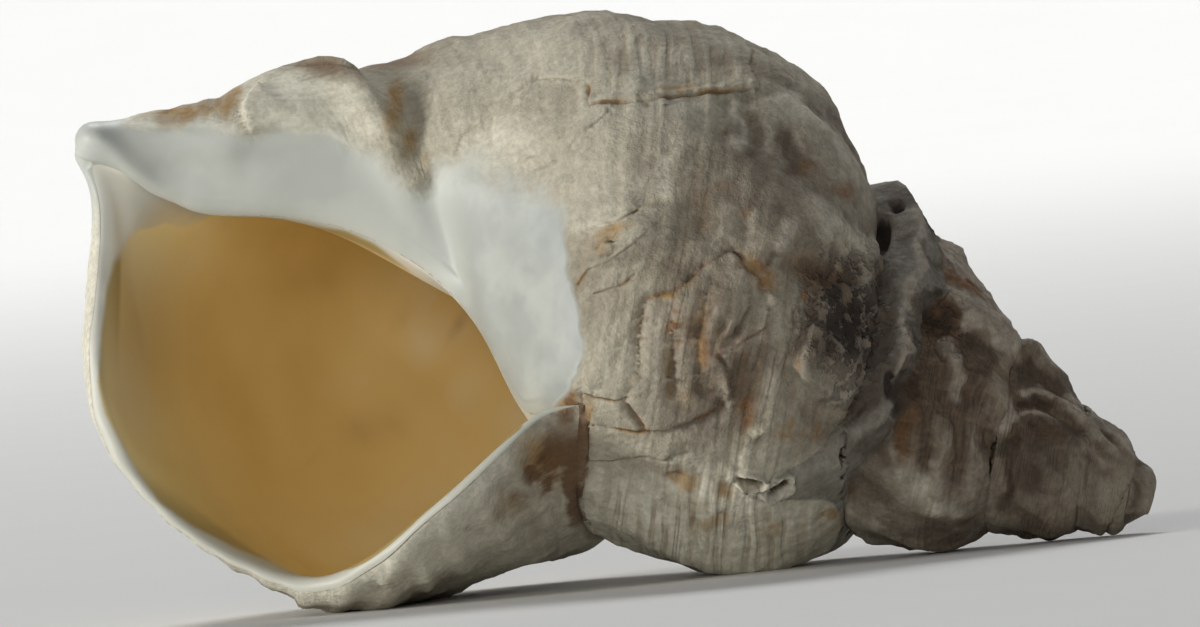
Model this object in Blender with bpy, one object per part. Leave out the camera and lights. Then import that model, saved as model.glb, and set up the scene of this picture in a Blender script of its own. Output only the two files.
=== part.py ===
"""Common whelk shell, about 90 mm long, lying on its side with the aperture turned to -Y.

The shell grew as a spiral that widens at a fixed rate: one outline, turned about the shell's axis
and shrunk towards one point on it, gives every whorl. The last turn ends in a flared lip, and its
front end is a twisted column with an open canal. Lengths are millimetres in the shell's own axes:
height runs along the axis from the spire to the canal, v faces the aperture's side, u completes them.
"""
from math import cos, exp, log, pi, radians, sin

import bmesh
import bpy
import numpy as np
from mathutils import Matrix, Vector

MM = 0.001
NAME = "shell"
COLLECTION = "conch_shell"

# Growth: the widening in one turn, where the suture ends, and how many turns lie before the last.
GROWTH_PER_TURN = 1.73
RATE = log(GROWTH_PER_TURN) / (2.0 * pi)
REFERENCE_AZIMUTH = radians(90.0)
SUTURE_END_AZIMUTH = radians(-26.0)
TURNS_BEFORE_LAST = 4.0

# The outline of a whorl at the reference azimuth of the last turn: height along the axis, radius.
WHORL_OUTLINE = [
    (33.5, 13.4), (34.2, 15.5), (35.8, 17.9), (38.2, 20.1), (41.3, 21.8), (44.8, 22.8), (48.5, 23.2),
    (52.8, 23.3), (57.3, 22.8), (61.3, 20.3), (65.0, 16.3), (68.5, 12.2), (71.5, 8.9), (74.0, 5.2),
]
BASE_SLOPE = 1.7

# The whorl isn't quite round. Shares of the radius: how far its top is flattened and its shoulder
# slopes on the last turn, and how much wider the spire is on the side away from the ground. The turns
# of the spire are also drawn in towards a plain cone, with its tip at the pole, by a share of their bulge.
FLAT_TOP = 0.08
FLAT_FROM, FLAT_OVER, FLAT_SPREAD = 44.0, 14.0, radians(55.0)
SHOULDER_SLOPE = 0.105
SHOULDER_AT, SHOULDER_SPREAD = 37.3, 4.8
SPIRE_FILL = 0.09
SPIRE_STRAIGHT = 0.45

# The front end: where the canal ends, its rounding, and how softly the whorl runs into the column.
CANAL_END = 94.4
CANAL_ROUNDING = 1.6
NECK = 2.6

# The tip of the spire is thicker than its spiral, by a share of the radius that eases in between two
# heights, and it is worn to a dome: its centre's height and its radius.
TIP_SWELL = 0.15
TIP_FROM, TIP_FULL = 15.0, 6.0
DOME_HEIGHT = 6.0
DOME_RADIUS = 3.1

# The column that carries the canal: height, centre u, centre v, radius.
COLUMN = [
    (3.0, 0.0, 0.0, 0.3), (30.0, 0.0, 0.0, 2.4), (48.4, 0.0, 0.0, 4.2), (59.7, 0.3, 0.0, 4.7),
    (66.9, 1.6, 0.0, 5.0), (72.1, 2.9, 0.0, 5.3), (77.0, 3.1, 0.2, 5.3), (80.6, 1.8, 0.8, 5.0),
    (83.0, 0.6, 1.6, 4.6), (86.4, -0.8, 2.4, 3.7), (89.2, -2.1, 3.2, 3.0), (91.9, -3.3, 3.9, 2.5),
    (94.4, -4.2, 4.3, 2.2),
]
FASCIOLE_HEIGHT = 78.5
FASCIOLE_RISE = 1.9
FASCIOLE_WIDTH = 2.9

# The lip's edge from the suture's end to the canal: height, u, v.
LIP_EDGE = [
    (51.2, -10.6, 17.9), (53.1, -14.3, 20.6), (55.1, -18.4, 22.0), (57.3, -22.4, 21.4),
    (59.2, -26.3, 19.3), (61.5, -29.1, 17.0), (63.8, -30.7, 15.3), (67.5, -31.0, 13.9),
    (72.3, -30.7, 12.5), (77.1, -29.4, 11.3), (82.0, -26.8, 9.8), (85.2, -23.9, 8.7),
    (87.6, -19.1, 7.5), (89.6, -11.9, 6.1), (91.3, -7.2, 5.0), (93.7, -4.8, 4.5),
]
# The inner lip from the suture's end over the column to the canal: height, u, v.
INNER_EDGE = [
    (51.5, -10.9, 12.6), (52.9, -11.3, 10.5), (55.8, -8.7, 9.0), (58.6, -6.2, 7.6),
    (62.6, -3.9, 5.6), (66.9, -2.8, 4.8), (72.2, -2.5, 4.4), (77.5, -3.6, 4.2), (83.1, -5.6, 4.0),
    (86.4, -5.2, 4.0), (89.3, -4.5, 4.2), (91.8, -4.5, 4.3), (93.7, -4.8, 4.5),
]

# Shares of the last turn over which its surface leaves the inner lip, and flares to the outer lip.
INNER_LIP_SHARE = 0.14
FLARE_SHARE = 0.21
FLARE_EASE = 1.4

# Walls, the glaze over the turn before and the column, and the hollow behind the aperture: how far
# it turns inwards, its gap to the suture and its end towards the canal.
WALL = 1.5
LIP_WALL = 2.1
GLAZE = 0.5
GLAZE_BLEND = 1.6
HOLLOW_TURN = radians(285.0)
HOLLOW_TOP_GAP = 1.6
HOLLOW_BOTTOM = 92.4
HOLLOW_NARROWING = 1.25

# How far the back of the last turn may show below and beyond the lip's edge.
PAST_LIP_BELOW = 0.6
PAST_LIP_AHEAD = 0.5

# Relief: the folds across the whorls, and the keeled tube that crusts over the last suture.
FOLDS_PER_TURN = 11
FOLD_RISE = 0.035
FOLD_LEAN = 0.5
TUBE = [
    (120.0, 33.8, 16.6), (90.0, 31.2, 17.4), (72.0, 29.2, 16.5), (54.0, 27.6, 15.3), (38.0, 26.8, 14.5),
    (24.0, 26.5, 14.2), (11.0, 26.1, 14.0), (0.0, 26.2, 13.9), (-11.0, 26.4, 13.9), (-23.5, 28.5, 14.5),
    (-32.0, 31.1, 16.9), (-37.0, 34.6, 18.6),
]
TUBE_SLOPE = 1.1
TUBE_REACH = 4.5

# How the shell rests: turned about Y and then X, with small flats worn where it touches.
REST_PITCH = radians(26.3)
REST_ROLL = radians(-1.0)
WORN_FLAT = 0.3

# Finish: colour of the chalky outside and its roughness.
SHELL_COLOUR = (0.52, 0.46, 0.37, 1.0)
SHELL_ROUGHNESS = 0.8

# Mesh steps: in one turn, over the exposed band of a whorl, over the last turn's outline, inwards.
STEPS = 60
BAND = 8
OUTLINE = 26
HOLLOW_STEPS = 28


def smooth_step(value):
    """Ease from 0 to 1 as the value goes from 0 to 1."""
    value = np.clip(value, 0.0, 1.0)
    return value * value * (3.0 - 2.0 * value)


def smooth_max(first, second, width):
    """The larger of two values, with the change between them rounded over a width."""
    return 0.5 * (first + second + np.sqrt((first - second) ** 2 + width * width))


def curve_through(points, pieces=24):
    """Points of a smooth curve that passes through the given ones."""
    rows = np.array(points, float)
    rows = np.vstack([2.0 * rows[0] - rows[1], rows, 2.0 * rows[-1] - rows[-2]])
    share = np.linspace(0.0, 1.0, pieces, endpoint=False)[:, None]
    curve = []
    for index in range(1, len(rows) - 2):
        a, b, c, d = rows[index - 1:index + 3]
        curve.append(0.5 * (2.0 * b + (c - a) * share
                            + (2.0 * a - 5.0 * b + 4.0 * c - d) * share ** 2
                            + (3.0 * b - a - 3.0 * c + d) * share ** 3))
    return np.vstack(curve + [rows[-2:-1]])


def at_shares(curve, shares):
    """Points of a curve at shares of its length."""
    steps = np.linalg.norm(np.diff(curve, axis=0), axis=1)
    length = np.concatenate([[0.0], np.cumsum(steps)])
    length /= length[-1]
    return by_value(length, curve, shares)


def by_value(keys, curve, values):
    """Points of a curve where a rising key has the given values."""
    return np.stack([np.interp(values, keys, curve[:, axis]) for axis in range(curve.shape[1])], axis=-1)


OUTLINE_CURVE = curve_through(WHORL_OUTLINE)
COLUMN_CURVE = curve_through(COLUMN)
TUBE_CURVE = curve_through(TUBE)


def scale_at(azimuth):
    """Size of the spiral at an azimuth that counts whole turns."""
    return np.exp(RATE * (azimuth - REFERENCE_AZIMUTH))


def column_centre(height):
    """Centre (u, v) of the twisted column at a height."""
    heights = COLUMN_CURVE[:, 0]
    return np.interp(height, heights, COLUMN_CURVE[:, 1]), np.interp(height, heights, COLUMN_CURVE[:, 2])


def azimuth_of(points):
    """Azimuth of points about the column's centre."""
    centre_u, centre_v = column_centre(points[..., 0])
    return np.arctan2(points[..., 1] - centre_u, points[..., 2] - centre_v)


def spire_fill(azimuth):
    """Factor by which the turns of the spire are wider on the side away from the ground."""
    early = smooth_step((radians(-60.0) - azimuth) / radians(120.0))
    return 1.0 + SPIRE_FILL * (0.5 + 0.5 * np.sin(azimuth)) * early


def spire_straight(azimuth, inside):
    """How far a turn is drawn in towards the cone between its sutures, most on its upper side."""
    early = smooth_step((radians(-60.0) - azimuth) / radians(120.0)) * (0.5 + 0.5 * np.sin(azimuth))
    return SPIRE_STRAIGHT * early * smooth_step((66.0 - inside) / 8.0)


def fold_rise(azimuth, height, scale):
    """Share by which the axial folds lift the surface: they lean, and fade out near the lip."""
    along = (height / scale - WHORL_OUTLINE[0][0]) / (WHORL_OUTLINE[8][0] - WHORL_OUTLINE[0][0])
    wave = 0.5 + 0.5 * np.cos(FOLDS_PER_TURN * (azimuth - FOLD_LEAN * (along - 0.5)))
    middle = smooth_step(along / 0.3) * smooth_step((1.25 - along) / 0.5)
    fade = 1.0 - 0.75 * smooth_step((azimuth - radians(-120.0)) / radians(330.0))
    return FOLD_RISE * wave * middle * fade


def whorl_radius(azimuth, height):
    """Radius of the spiral whorl at an azimuth and a height."""
    scale = scale_at(azimuth)
    inside = height / scale
    radius = np.interp(inside, OUTLINE_CURVE[:, 0], OUTLINE_CURVE[:, 1])
    last = OUTLINE_CURVE[-1]
    radius = np.where(inside > last[0], last[1] - BASE_SLOPE * (inside - last[0]), radius)
    cone = inside * WHORL_OUTLINE[0][1] / WHORL_OUTLINE[0][0]
    radius = radius + (cone - radius) * spire_straight(azimuth, inside)
    flat = FLAT_TOP * np.exp(-((azimuth - REFERENCE_AZIMUTH) / FLAT_SPREAD) ** 2)
    flat = flat * smooth_step((inside - FLAT_FROM) / FLAT_OVER)
    slope = SHOULDER_SLOPE * np.exp(-((inside - SHOULDER_AT) / SHOULDER_SPREAD) ** 2)
    flat = flat + slope * smooth_step((azimuth - radians(205.0)) / radians(65.0))
    return scale * radius * (1.0 - flat + fold_rise(azimuth, height, scale)) * spire_fill(azimuth)


def column_radius(azimuth, height):
    """Radius of the column with the fasciole, the ridge that the canal's notch left on it."""
    radius = np.interp(height, COLUMN_CURVE[:, 0], COLUMN_CURVE[:, 3])
    ridge_height = FASCIOLE_HEIGHT * scale_at(azimuth)
    front = smooth_step((azimuth - radians(-30.0)) / radians(80.0))
    rise = FASCIOLE_RISE * front * np.exp(-((height - ridge_height) / FASCIOLE_WIDTH) ** 2)
    return radius + rise * np.clip(radius / 4.0, 0.0, 1.0)


def placed(azimuth, height, radius):
    """Points (height, u, v) at an azimuth, a height and a radius about the column's centre."""
    centre_u, centre_v = column_centre(height)
    return np.stack([height, centre_u + radius * np.sin(azimuth), centre_v + radius * np.cos(azimuth)],
                    axis=-1)


def meridian(azimuth, samples=240):
    """Heights and radii of the last turn's outside at one azimuth, from the suture to the canal."""
    start = suture_point(azimuth)[0]
    height = np.linspace(start, CANAL_END, samples)
    whorl = whorl_radius(azimuth, height)
    joined = smooth_max(whorl, column_radius(azimuth, height), NECK)
    away = smooth_step((height - start) / 5.0)
    tip = np.clip((CANAL_END - height) / CANAL_ROUNDING, 0.0, 1.0)
    radius = (whorl * (1.0 - away) + joined * away) * np.sqrt(1.0 - (1.0 - tip) ** 2)
    return height, radius


def suture_point(azimuth):
    """Point of the suture at an azimuth that counts whole turns."""
    height, radius = WHORL_OUTLINE[0]
    scale = scale_at(azimuth)
    radius = radius * scale * spire_fill(azimuth)
    return np.array([height * scale, radius * sin(azimuth), radius * cos(azimuth)])


def edge_curve(points):
    """Smooth edge that starts at the suture's end and passes through the given points."""
    return curve_through([tuple(suture_point(SUTURE_END_AZIMUTH + 2.0 * pi))] + points)


def early_whorls():
    """Rows of the band that stays in sight on the turns before the last one."""
    first = -int(round((TURNS_BEFORE_LAST + 1.0) * STEPS))
    rows = []
    for step in range(first, 1 - STEPS):
        azimuth = SUTURE_END_AZIMUTH + 2.0 * pi * (1.0 + step / STEPS)
        start = suture_point(azimuth)
        below = suture_point(azimuth + 2.0 * pi)
        height = np.linspace(start[0], below[0], 120)
        radius = whorl_radius(azimuth, height)
        line = np.stack([height, radius * sin(azimuth), radius * cos(azimuth)], axis=-1)
        line[0] = start
        line[-1] = below
        rows.append(at_shares(line, np.linspace(0.0, 1.0, BAND + 1)))
    return np.array(rows)


def kept_behind_lip(points):
    """Points of the last turn, moved so that its back shows no further than the lip's edge."""
    lip = edge_curve(LIP_EDGE)
    height = points[..., 0]
    rising = lip[np.argmin(lip[:, 1]):]
    ahead = np.interp(points[..., 1], rising[:, 1], rising[:, 0]) + PAST_LIP_AHEAD
    pushed = smooth_max(height - ahead, 0.0, 0.3) * smooth_step((height - 76.0) / 4.0)
    free = 40.0 * smooth_step((65.0 - height) / 8.0)
    below = np.interp(height, lip[:, 0], lip[:, 1]) - PAST_LIP_BELOW - free
    raised = smooth_max(below - points[..., 1], 0.0, 0.3) * smooth_step((84.0 - height) / 6.0)
    return points + np.stack([-pushed, raised, np.zeros_like(height)], axis=-1)


def last_whorl(band):
    """Rows over the outside of the last turn, from the inner lip (after the band) to the outer lip."""
    even = np.linspace(0.0, 1.0, OUTLINE + 1)
    past_band = np.linspace(0.0, 1.0, OUTLINE + 1 - BAND)
    outer = at_shares(edge_curve(LIP_EDGE), even)
    inner = at_shares(edge_curve(INNER_EDGE), past_band)
    start_turn = np.full(OUTLINE + 1, SUTURE_END_AZIMUTH)
    start_turn[BAND:] = azimuth_of(inner)
    start_turn[-1] = start_turn[-2]
    end_turn = azimuth_of(outer) + 2.0 * pi
    end_turn[-1] = end_turn[-2]
    height, radius = meridian(SUTURE_END_AZIMUTH)
    first_line = np.stack([height, radius], axis=-1)
    length = np.cumsum(np.concatenate([[0.0], np.linalg.norm(np.diff(first_line, axis=0), axis=1)]))
    band_share = np.interp(inner[0][0], height, length / length[-1])
    rows = []
    for step in range(STEPS + 1):
        part = step / STEPS
        turn = SUTURE_END_AZIMUTH + 2.0 * pi * part
        share = band_share + (BAND / OUTLINE - band_share) * smooth_step(part / 0.25)
        shares = np.concatenate([np.linspace(0.0, share, BAND + 1)[:-1], share + (1.0 - share) * past_band])
        heights = at_shares(np.stack(meridian(turn), axis=-1), shares)[:, 0]
        row = [suture_point(turn)]
        for index in range(1, OUTLINE + 1):
            own_turn = start_turn[index] * (1.0 - part) + end_turn[index] * part
            radius = np.interp(heights[index], *meridian(own_turn))
            row.append(placed(own_turn, heights[index], radius))
        rows.append(row)
    rows = np.array(rows)
    start_gap = np.vstack([band, inner[1:]]) - rows[0]
    end_gap = outer - rows[-1]
    for step in range(STEPS + 1):
        part = step / STEPS
        rows[step] += start_gap * (1.0 - smooth_step(part / INNER_LIP_SHARE))
        rows[step] += end_gap * smooth_step((part - 1.0 + FLARE_SHARE) / FLARE_SHARE) ** FLARE_EASE
    back = int(0.6 * STEPS)
    rows[back:-1] = kept_behind_lip(rows[back:-1])
    return rows


def inner_wall(turn, heights, inner, inner_azimuth):
    """Line down the hollow's inner side, over the turn before and the column, some turn inwards."""
    azimuth = np.interp(heights, inner[:, 0], inner_azimuth)
    column = np.interp(heights, COLUMN_CURVE[:, 0], COLUMN_CURVE[:, 3])
    edge_radius = smooth_max(whorl_radius(azimuth, heights), column, GLAZE_BLEND) + GLAZE
    at_edge = placed(azimuth, heights, edge_radius)
    radius = smooth_max(whorl_radius(azimuth - turn, heights), column, GLAZE_BLEND) + GLAZE
    edge_gap = by_value(inner[:, 0], inner, heights) - at_edge
    return placed(azimuth - turn, heights, radius) + edge_gap * exp(-(turn / 0.35) ** 2)


def outer_wall(turn, heights, outside):
    """Line down the hollow's outer side: the last turn's outside moved in by the wall."""
    place = STEPS * (1.0 - turn / (2.0 * pi))
    low = int(place)
    high = min(low + 1, STEPS)
    skin = outside[low] + (outside[high] - outside[low]) * (place - low)
    normal = np.cross(np.gradient(skin, axis=0), outside[high] - outside[max(high - 2, 0)])
    normal /= np.maximum(np.linalg.norm(normal, axis=1), 1e-9)[:, None]
    outward = skin - placed(0.0, skin[:, 0], 0.0)
    normal *= np.sign((normal * outward).sum(axis=1))[:, None]
    wall = WALL + (LIP_WALL - WALL) * exp(-turn / 0.25)
    moved = skin - normal * wall
    moved = moved[np.argsort(moved[:, 0])]
    return by_value(moved[:, 0], moved, heights)


def hollow_rings(outside):
    """Closed rings from the aperture's edge inwards, each down the outer wall and back up the inner."""
    shares = np.linspace(0.0, 1.0, OUTLINE + 1)
    back = np.linspace(1.0, 0.0, OUTLINE + 1 - BAND)[1:-1]
    inner = at_shares(edge_curve(INNER_EDGE), np.linspace(0.0, 1.0, 200))
    inner_azimuth = azimuth_of(inner)
    inner_azimuth[-1] = inner_azimuth[-2]
    rings = [np.vstack([outside[-1], outside[0][BAND + 1:-1][::-1]])]
    for ring in range(1, HOLLOW_STEPS + 1):
        turn = HOLLOW_TURN * ((ring - 0.55) / (HOLLOW_STEPS - 0.55)) ** 1.15
        suture = suture_point(SUTURE_END_AZIMUTH + 2.0 * pi - turn)
        top = suture[0] + HOLLOW_TOP_GAP * exp(-RATE * turn)
        bottom = HOLLOW_BOTTOM * exp(-RATE * HOLLOW_NARROWING * turn) - 0.4
        heights = top + (bottom - top) * shares
        inner_line = inner_wall(turn, heights, inner, inner_azimuth)
        outer_line = outer_wall(turn, heights, outside)
        opening = (1.0 - np.abs(2.0 * shares - 1.0) ** 7) ** (1.0 / 3.0)
        loop = inner_line + (outer_line - inner_line) * opening[:, None]
        rings.append(np.vstack([loop, at_shares(inner_line, back)]))
    return np.array(rings)


def with_tube(points):
    """Raise the keeled tube over the points that it crosses."""
    azimuth = np.degrees(np.arctan2(points[..., 1], points[..., 2]))
    radius = np.hypot(points[..., 1], points[..., 2])
    nearest = np.full(radius.shape, 1.0e9)
    crest = np.zeros(radius.shape)
    for turn, height, top in TUBE_CURVE[::4]:
        across = radians(1.0) * (azimuth - turn) * top
        gap = np.hypot(across, points[..., 0] - height)
        closer = gap < nearest
        nearest = np.where(closer, gap, nearest)
        crest = np.where(closer, top, crest)
    tube = crest - TUBE_SLOPE * np.sqrt(nearest ** 2 + 0.2)
    lifted = np.where(nearest < TUBE_REACH, smooth_max(radius, tube, 0.3), radius)
    factor = lifted / np.maximum(radius, 1e-6)
    return points * np.stack([np.ones_like(factor), factor, factor], axis=-1)


def with_worn_tip(points):
    """Thicken the spire's tip and wear it down to its dome."""
    swell = 1.0 + TIP_SWELL * smooth_step((TIP_FROM - points[..., 0]) / (TIP_FROM - TIP_FULL))
    points = points * np.stack([np.ones_like(swell), swell, swell], axis=-1)
    centre = np.array([DOME_HEIGHT, 0.0, 0.0])
    away = points - centre
    distance = np.linalg.norm(away, axis=-1, keepdims=True)
    worn = centre + away * DOME_RADIUS / np.maximum(distance, 1e-6)
    outside = (points[..., :1] < DOME_HEIGHT) & (distance > DOME_RADIUS)
    return np.where(outside, worn, points)


def add_sheet(model, points):
    """A flat grid wrapped over rows of points."""
    rows, columns = points.shape[:2]
    sheet = bmesh.ops.create_grid(model, x_segments=rows - 1, y_segments=columns - 1, size=1.0)
    for vertex in sheet["verts"]:
        row = int(round((vertex.co.x + 1.0) * 0.5 * (rows - 1)))
        column = int(round((vertex.co.y + 1.0) * 0.5 * (columns - 1)))
        height, u, v = points[row, column]
        vertex.co = Vector((-height, -v, u)) * MM


def lay_down(model):
    """Turn the shell to the way it rests, wear small flats where it touches, and centre it."""
    turn = Matrix.Rotation(REST_ROLL, 3, "X") @ Matrix.Rotation(REST_PITCH, 3, "Y")
    bmesh.ops.rotate(model, verts=model.verts, cent=(0.0, 0.0, 0.0), matrix=turn)
    floor = min(vertex.co.z for vertex in model.verts) + WORN_FLAT * MM
    everything = model.verts[:] + model.edges[:] + model.faces[:]
    bmesh.ops.bisect_plane(model, geom=everything, dist=1.0e-7, plane_co=(0.0, 0.0, floor),
                           plane_no=(0.0, 0.0, 1.0), clear_inner=True)
    bmesh.ops.holes_fill(model, edges=[edge for edge in model.edges if edge.is_boundary], sides=0)
    middle = [0.5 * (min(vertex.co[axis] for vertex in model.verts)
                     + max(vertex.co[axis] for vertex in model.verts)) for axis in range(2)]
    bmesh.ops.translate(model, verts=model.verts, vec=(-middle[0], -middle[1], -floor))


def shell_material():
    """Chalky, weathered shell: matt cream grey with no metal in it."""
    material = bpy.data.materials.new("weathered_shell")
    material.use_nodes = True
    surface = material.node_tree.nodes["Principled BSDF"]
    surface.inputs["Base Color"].default_value = SHELL_COLOUR
    surface.inputs["Roughness"].default_value = SHELL_ROUGHNESS
    surface.inputs["Metallic"].default_value = 0.0
    return material


def build():
    """Model the shell and link it to its collection."""
    for item in list(bpy.context.scene.objects):
        bpy.data.objects.remove(item, do_unlink=True)
    early = early_whorls()
    outside = last_whorl(early[-1])
    rings = hollow_rings(outside)
    model = bmesh.new()
    add_sheet(model, with_worn_tip(with_tube(early)))
    add_sheet(model, with_tube(outside))
    add_sheet(model, np.concatenate([rings, rings[:, :1]], axis=1))
    bmesh.ops.remove_doubles(model, verts=model.verts, dist=0.00001)
    open_edges = [edge for edge in model.edges if edge.is_boundary]
    bmesh.ops.holes_fill(model, edges=open_edges, sides=0)
    bmesh.ops.recalc_face_normals(model, faces=model.faces)
    if model.calc_volume(signed=True) < 0.0:
        bmesh.ops.reverse_faces(model, faces=model.faces)
    lay_down(model)
    bmesh.ops.triangulate(model, faces=model.faces)
    mesh = bpy.data.meshes.new(NAME)
    model.to_mesh(mesh)
    model.free()
    shell = bpy.data.objects.new(NAME, mesh)
    collection = bpy.data.collections.new(COLLECTION)
    bpy.context.scene.collection.children.link(collection)
    collection.objects.link(shell)
    mesh.materials.append(shell_material())
    mesh.shade_smooth()


build()
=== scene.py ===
"""Weathered common whelk shell, lying on a pale studio floor with its aperture turned to the camera.

The shell is one grown piece. Its surface is worked out in the shell's own axes, in millimetres: height
runs along the axis from the spire to the canal, v points out of the aperture and u completes them.
Azimuth is the angle about the axis, measured from v towards u, and it counts whole turns.

A point's "inside" is its height on the reference turn's scale, so that it means the same place on every
turn: SUTURE and NEXT_SUTURE are the whorl's two sutures, and the cords are CORD_SPACING apart on it. The
marks that can be seen are placed by the pixels at which the photograph, 1200 by 627, shows them.
"""

import itertools
import logging
from collections.abc import Iterator
from contextlib import contextmanager
from dataclasses import dataclass, field
from enum import Enum
from math import exp, log, pi, radians

import bpy
import numpy as np
from mathutils import Matrix, Vector


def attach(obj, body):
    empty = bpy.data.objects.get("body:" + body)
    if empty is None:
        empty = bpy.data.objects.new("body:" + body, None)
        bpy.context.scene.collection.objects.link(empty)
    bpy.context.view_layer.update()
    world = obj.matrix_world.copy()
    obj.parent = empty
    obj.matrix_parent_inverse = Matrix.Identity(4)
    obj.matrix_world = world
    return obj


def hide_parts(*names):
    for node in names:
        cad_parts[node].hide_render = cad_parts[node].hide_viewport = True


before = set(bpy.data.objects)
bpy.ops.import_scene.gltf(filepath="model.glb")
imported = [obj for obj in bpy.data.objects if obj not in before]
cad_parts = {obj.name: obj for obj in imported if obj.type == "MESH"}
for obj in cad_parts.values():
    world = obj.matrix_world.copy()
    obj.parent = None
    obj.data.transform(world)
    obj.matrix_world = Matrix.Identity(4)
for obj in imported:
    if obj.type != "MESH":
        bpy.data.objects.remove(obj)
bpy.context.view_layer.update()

LOG = logging.getLogger("whelk")
MM = 0.001
TURN = 2 * pi
SUTURE = 33.5
NEXT_SUTURE = 57.95
FIRST_CORD = 33.9
CORD_SPACING = 2.1
FOLDS_PER_TURN = 11
FOLD_LEAN = 0.5
AXIS_PRIMES = (73856093, 19349663, 83492791)
SEED_PRIME = 2654435761
LOW_BITS = 0x7FFFFFFF
Values = np.ndarray


def ease(value: Values) -> Values:
    """Ease from 0 to 1 as the value goes from 0 to 1.

    Args:
        value: the values to ease.

    Returns:
        The eased values, held between 0 and 1.
    """
    value = np.clip(value, 0, 1)
    return value * value * (3 - 2 * value)


def larger(first: Values, second: Values, width: float) -> Values:
    """The larger of two values, with the change between them rounded over a width.

    Args:
        first: some values.
        second: the values that they are set against.
        width: the rounding, in the values' own unit.

    Returns:
        The rounded maximum.
    """
    return 0.5 * (first + second + np.sqrt((first - second) ** 2 + width * width))


def curve_through(points: list, pieces: int = 24) -> Values:
    """Points of a smooth curve that passes through the given ones.

    Args:
        points: the curve's own points, in order.
        pieces: how many points stand for each stretch between two of them.

    Returns:
        Rows of points along the curve.
    """
    rows = np.array(points, float)
    rows = np.vstack([2 * rows[0] - rows[1], rows, 2 * rows[-1] - rows[-2]])
    share = np.linspace(0, 1, pieces, endpoint=False)[:, None]
    curve = []
    for index in range(1, len(rows) - 2):
        a, b, c, d = rows[index - 1:index + 3]
        curve.append(0.5 * (2 * b + (c - a) * share
                            + (2 * a - 5 * b + 4 * c - d) * share ** 2
                            + (3 * b - a - 3 * c + d) * share ** 3))
    return np.vstack(curve + [rows[-2:-1]])


def by_value(keys: Values, curve: Values, values: Values) -> Values:
    """Points of a curve where a rising key has the given values.

    Args:
        keys: the key at each of the curve's points.
        curve: rows of points.
        values: the values looked for.

    Returns:
        Rows of points.
    """
    return np.stack([np.interp(values, keys, curve[:, axis]) for axis in range(curve.shape[1])], axis=-1)


def lengths_along(curve: Values) -> Values:
    """The share of a curve's length that lies before each of its points.

    Args:
        curve: rows of points.

    Returns:
        Shares from 0 to 1.
    """
    length = np.concatenate([[0], np.cumsum(np.linalg.norm(np.diff(curve, axis=0), axis=1))])
    return length / length[-1]


def at_shares(curve: Values, shares: Values) -> Values:
    """Points of a curve at shares of its length."""
    return by_value(lengths_along(curve), curve, shares)


def lattice_noise(points: Values, seed: int) -> Values:
    """Smooth noise from -1 to 1 that doesn't repeat, from fixed values at whole coordinates.

    Args:
        points: points whose last axis is x, y, z.
        seed: picks one of many such noises.

    Returns:
        One value for each point.
    """
    cell = np.floor(points).astype(np.int64)
    share = ease(points - cell)
    total = np.zeros(points.shape[:-1])
    for corner in itertools.product((0, 1), repeat=3):
        mixed = np.bitwise_xor.reduce((cell + np.array(corner)) * AXIS_PRIMES, axis=-1) ^ (seed * SEED_PRIME)
        for shift, prime in ((13, 1274126177), (15, 1103515245)):
            mixed = ((mixed ^ (mixed >> shift)) * prime) & LOW_BITS
        weight = np.prod(np.where(np.array(corner) == 1, share, 1 - share), axis=-1)
        total += weight * (mixed / (LOW_BITS // 2) - 1)
    return total


def cloud_noise(points: Values, size: float, seed: int, octaves: int = 3) -> Values:
    """Noise with finer noise laid over it, each octave half as large and half as strong.

    Args:
        points: points in millimetres.
        size: size of the coarsest lumps in millimetres.
        seed: picks one of many such noises.
        octaves: how many sizes are laid over each other.

    Returns:
        One value for each point, mostly from -1 to 1.
    """
    total = np.zeros(points.shape[:-1])
    for octave in range(octaves):
        total += lattice_noise(points * (2 ** octave / size), seed + octave) * 0.5 ** octave
    return total


class Part(Enum):
    """The part of the shell that a stretch of surface belongs to."""

    SPIRE = 0
    LAST_WHORL = 1
    HOLLOW = 2


@dataclass(frozen=True)
class Growth:
    """How the shell widens as it turns."""

    per_turn: float = 1.73
    reference: float = radians(90)
    suture_end: float = radians(-26)
    turns_before_last: int = 4

    @property
    def rate(self) -> float:
        """Growth for each radian, as a power of e."""
        return log(self.per_turn) / TURN

    def scale(self, azimuth: Values) -> Values:
        """Size of the spiral at an azimuth, against the reference azimuth of the last turn."""
        return np.exp(self.rate * (azimuth - self.reference))


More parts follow.
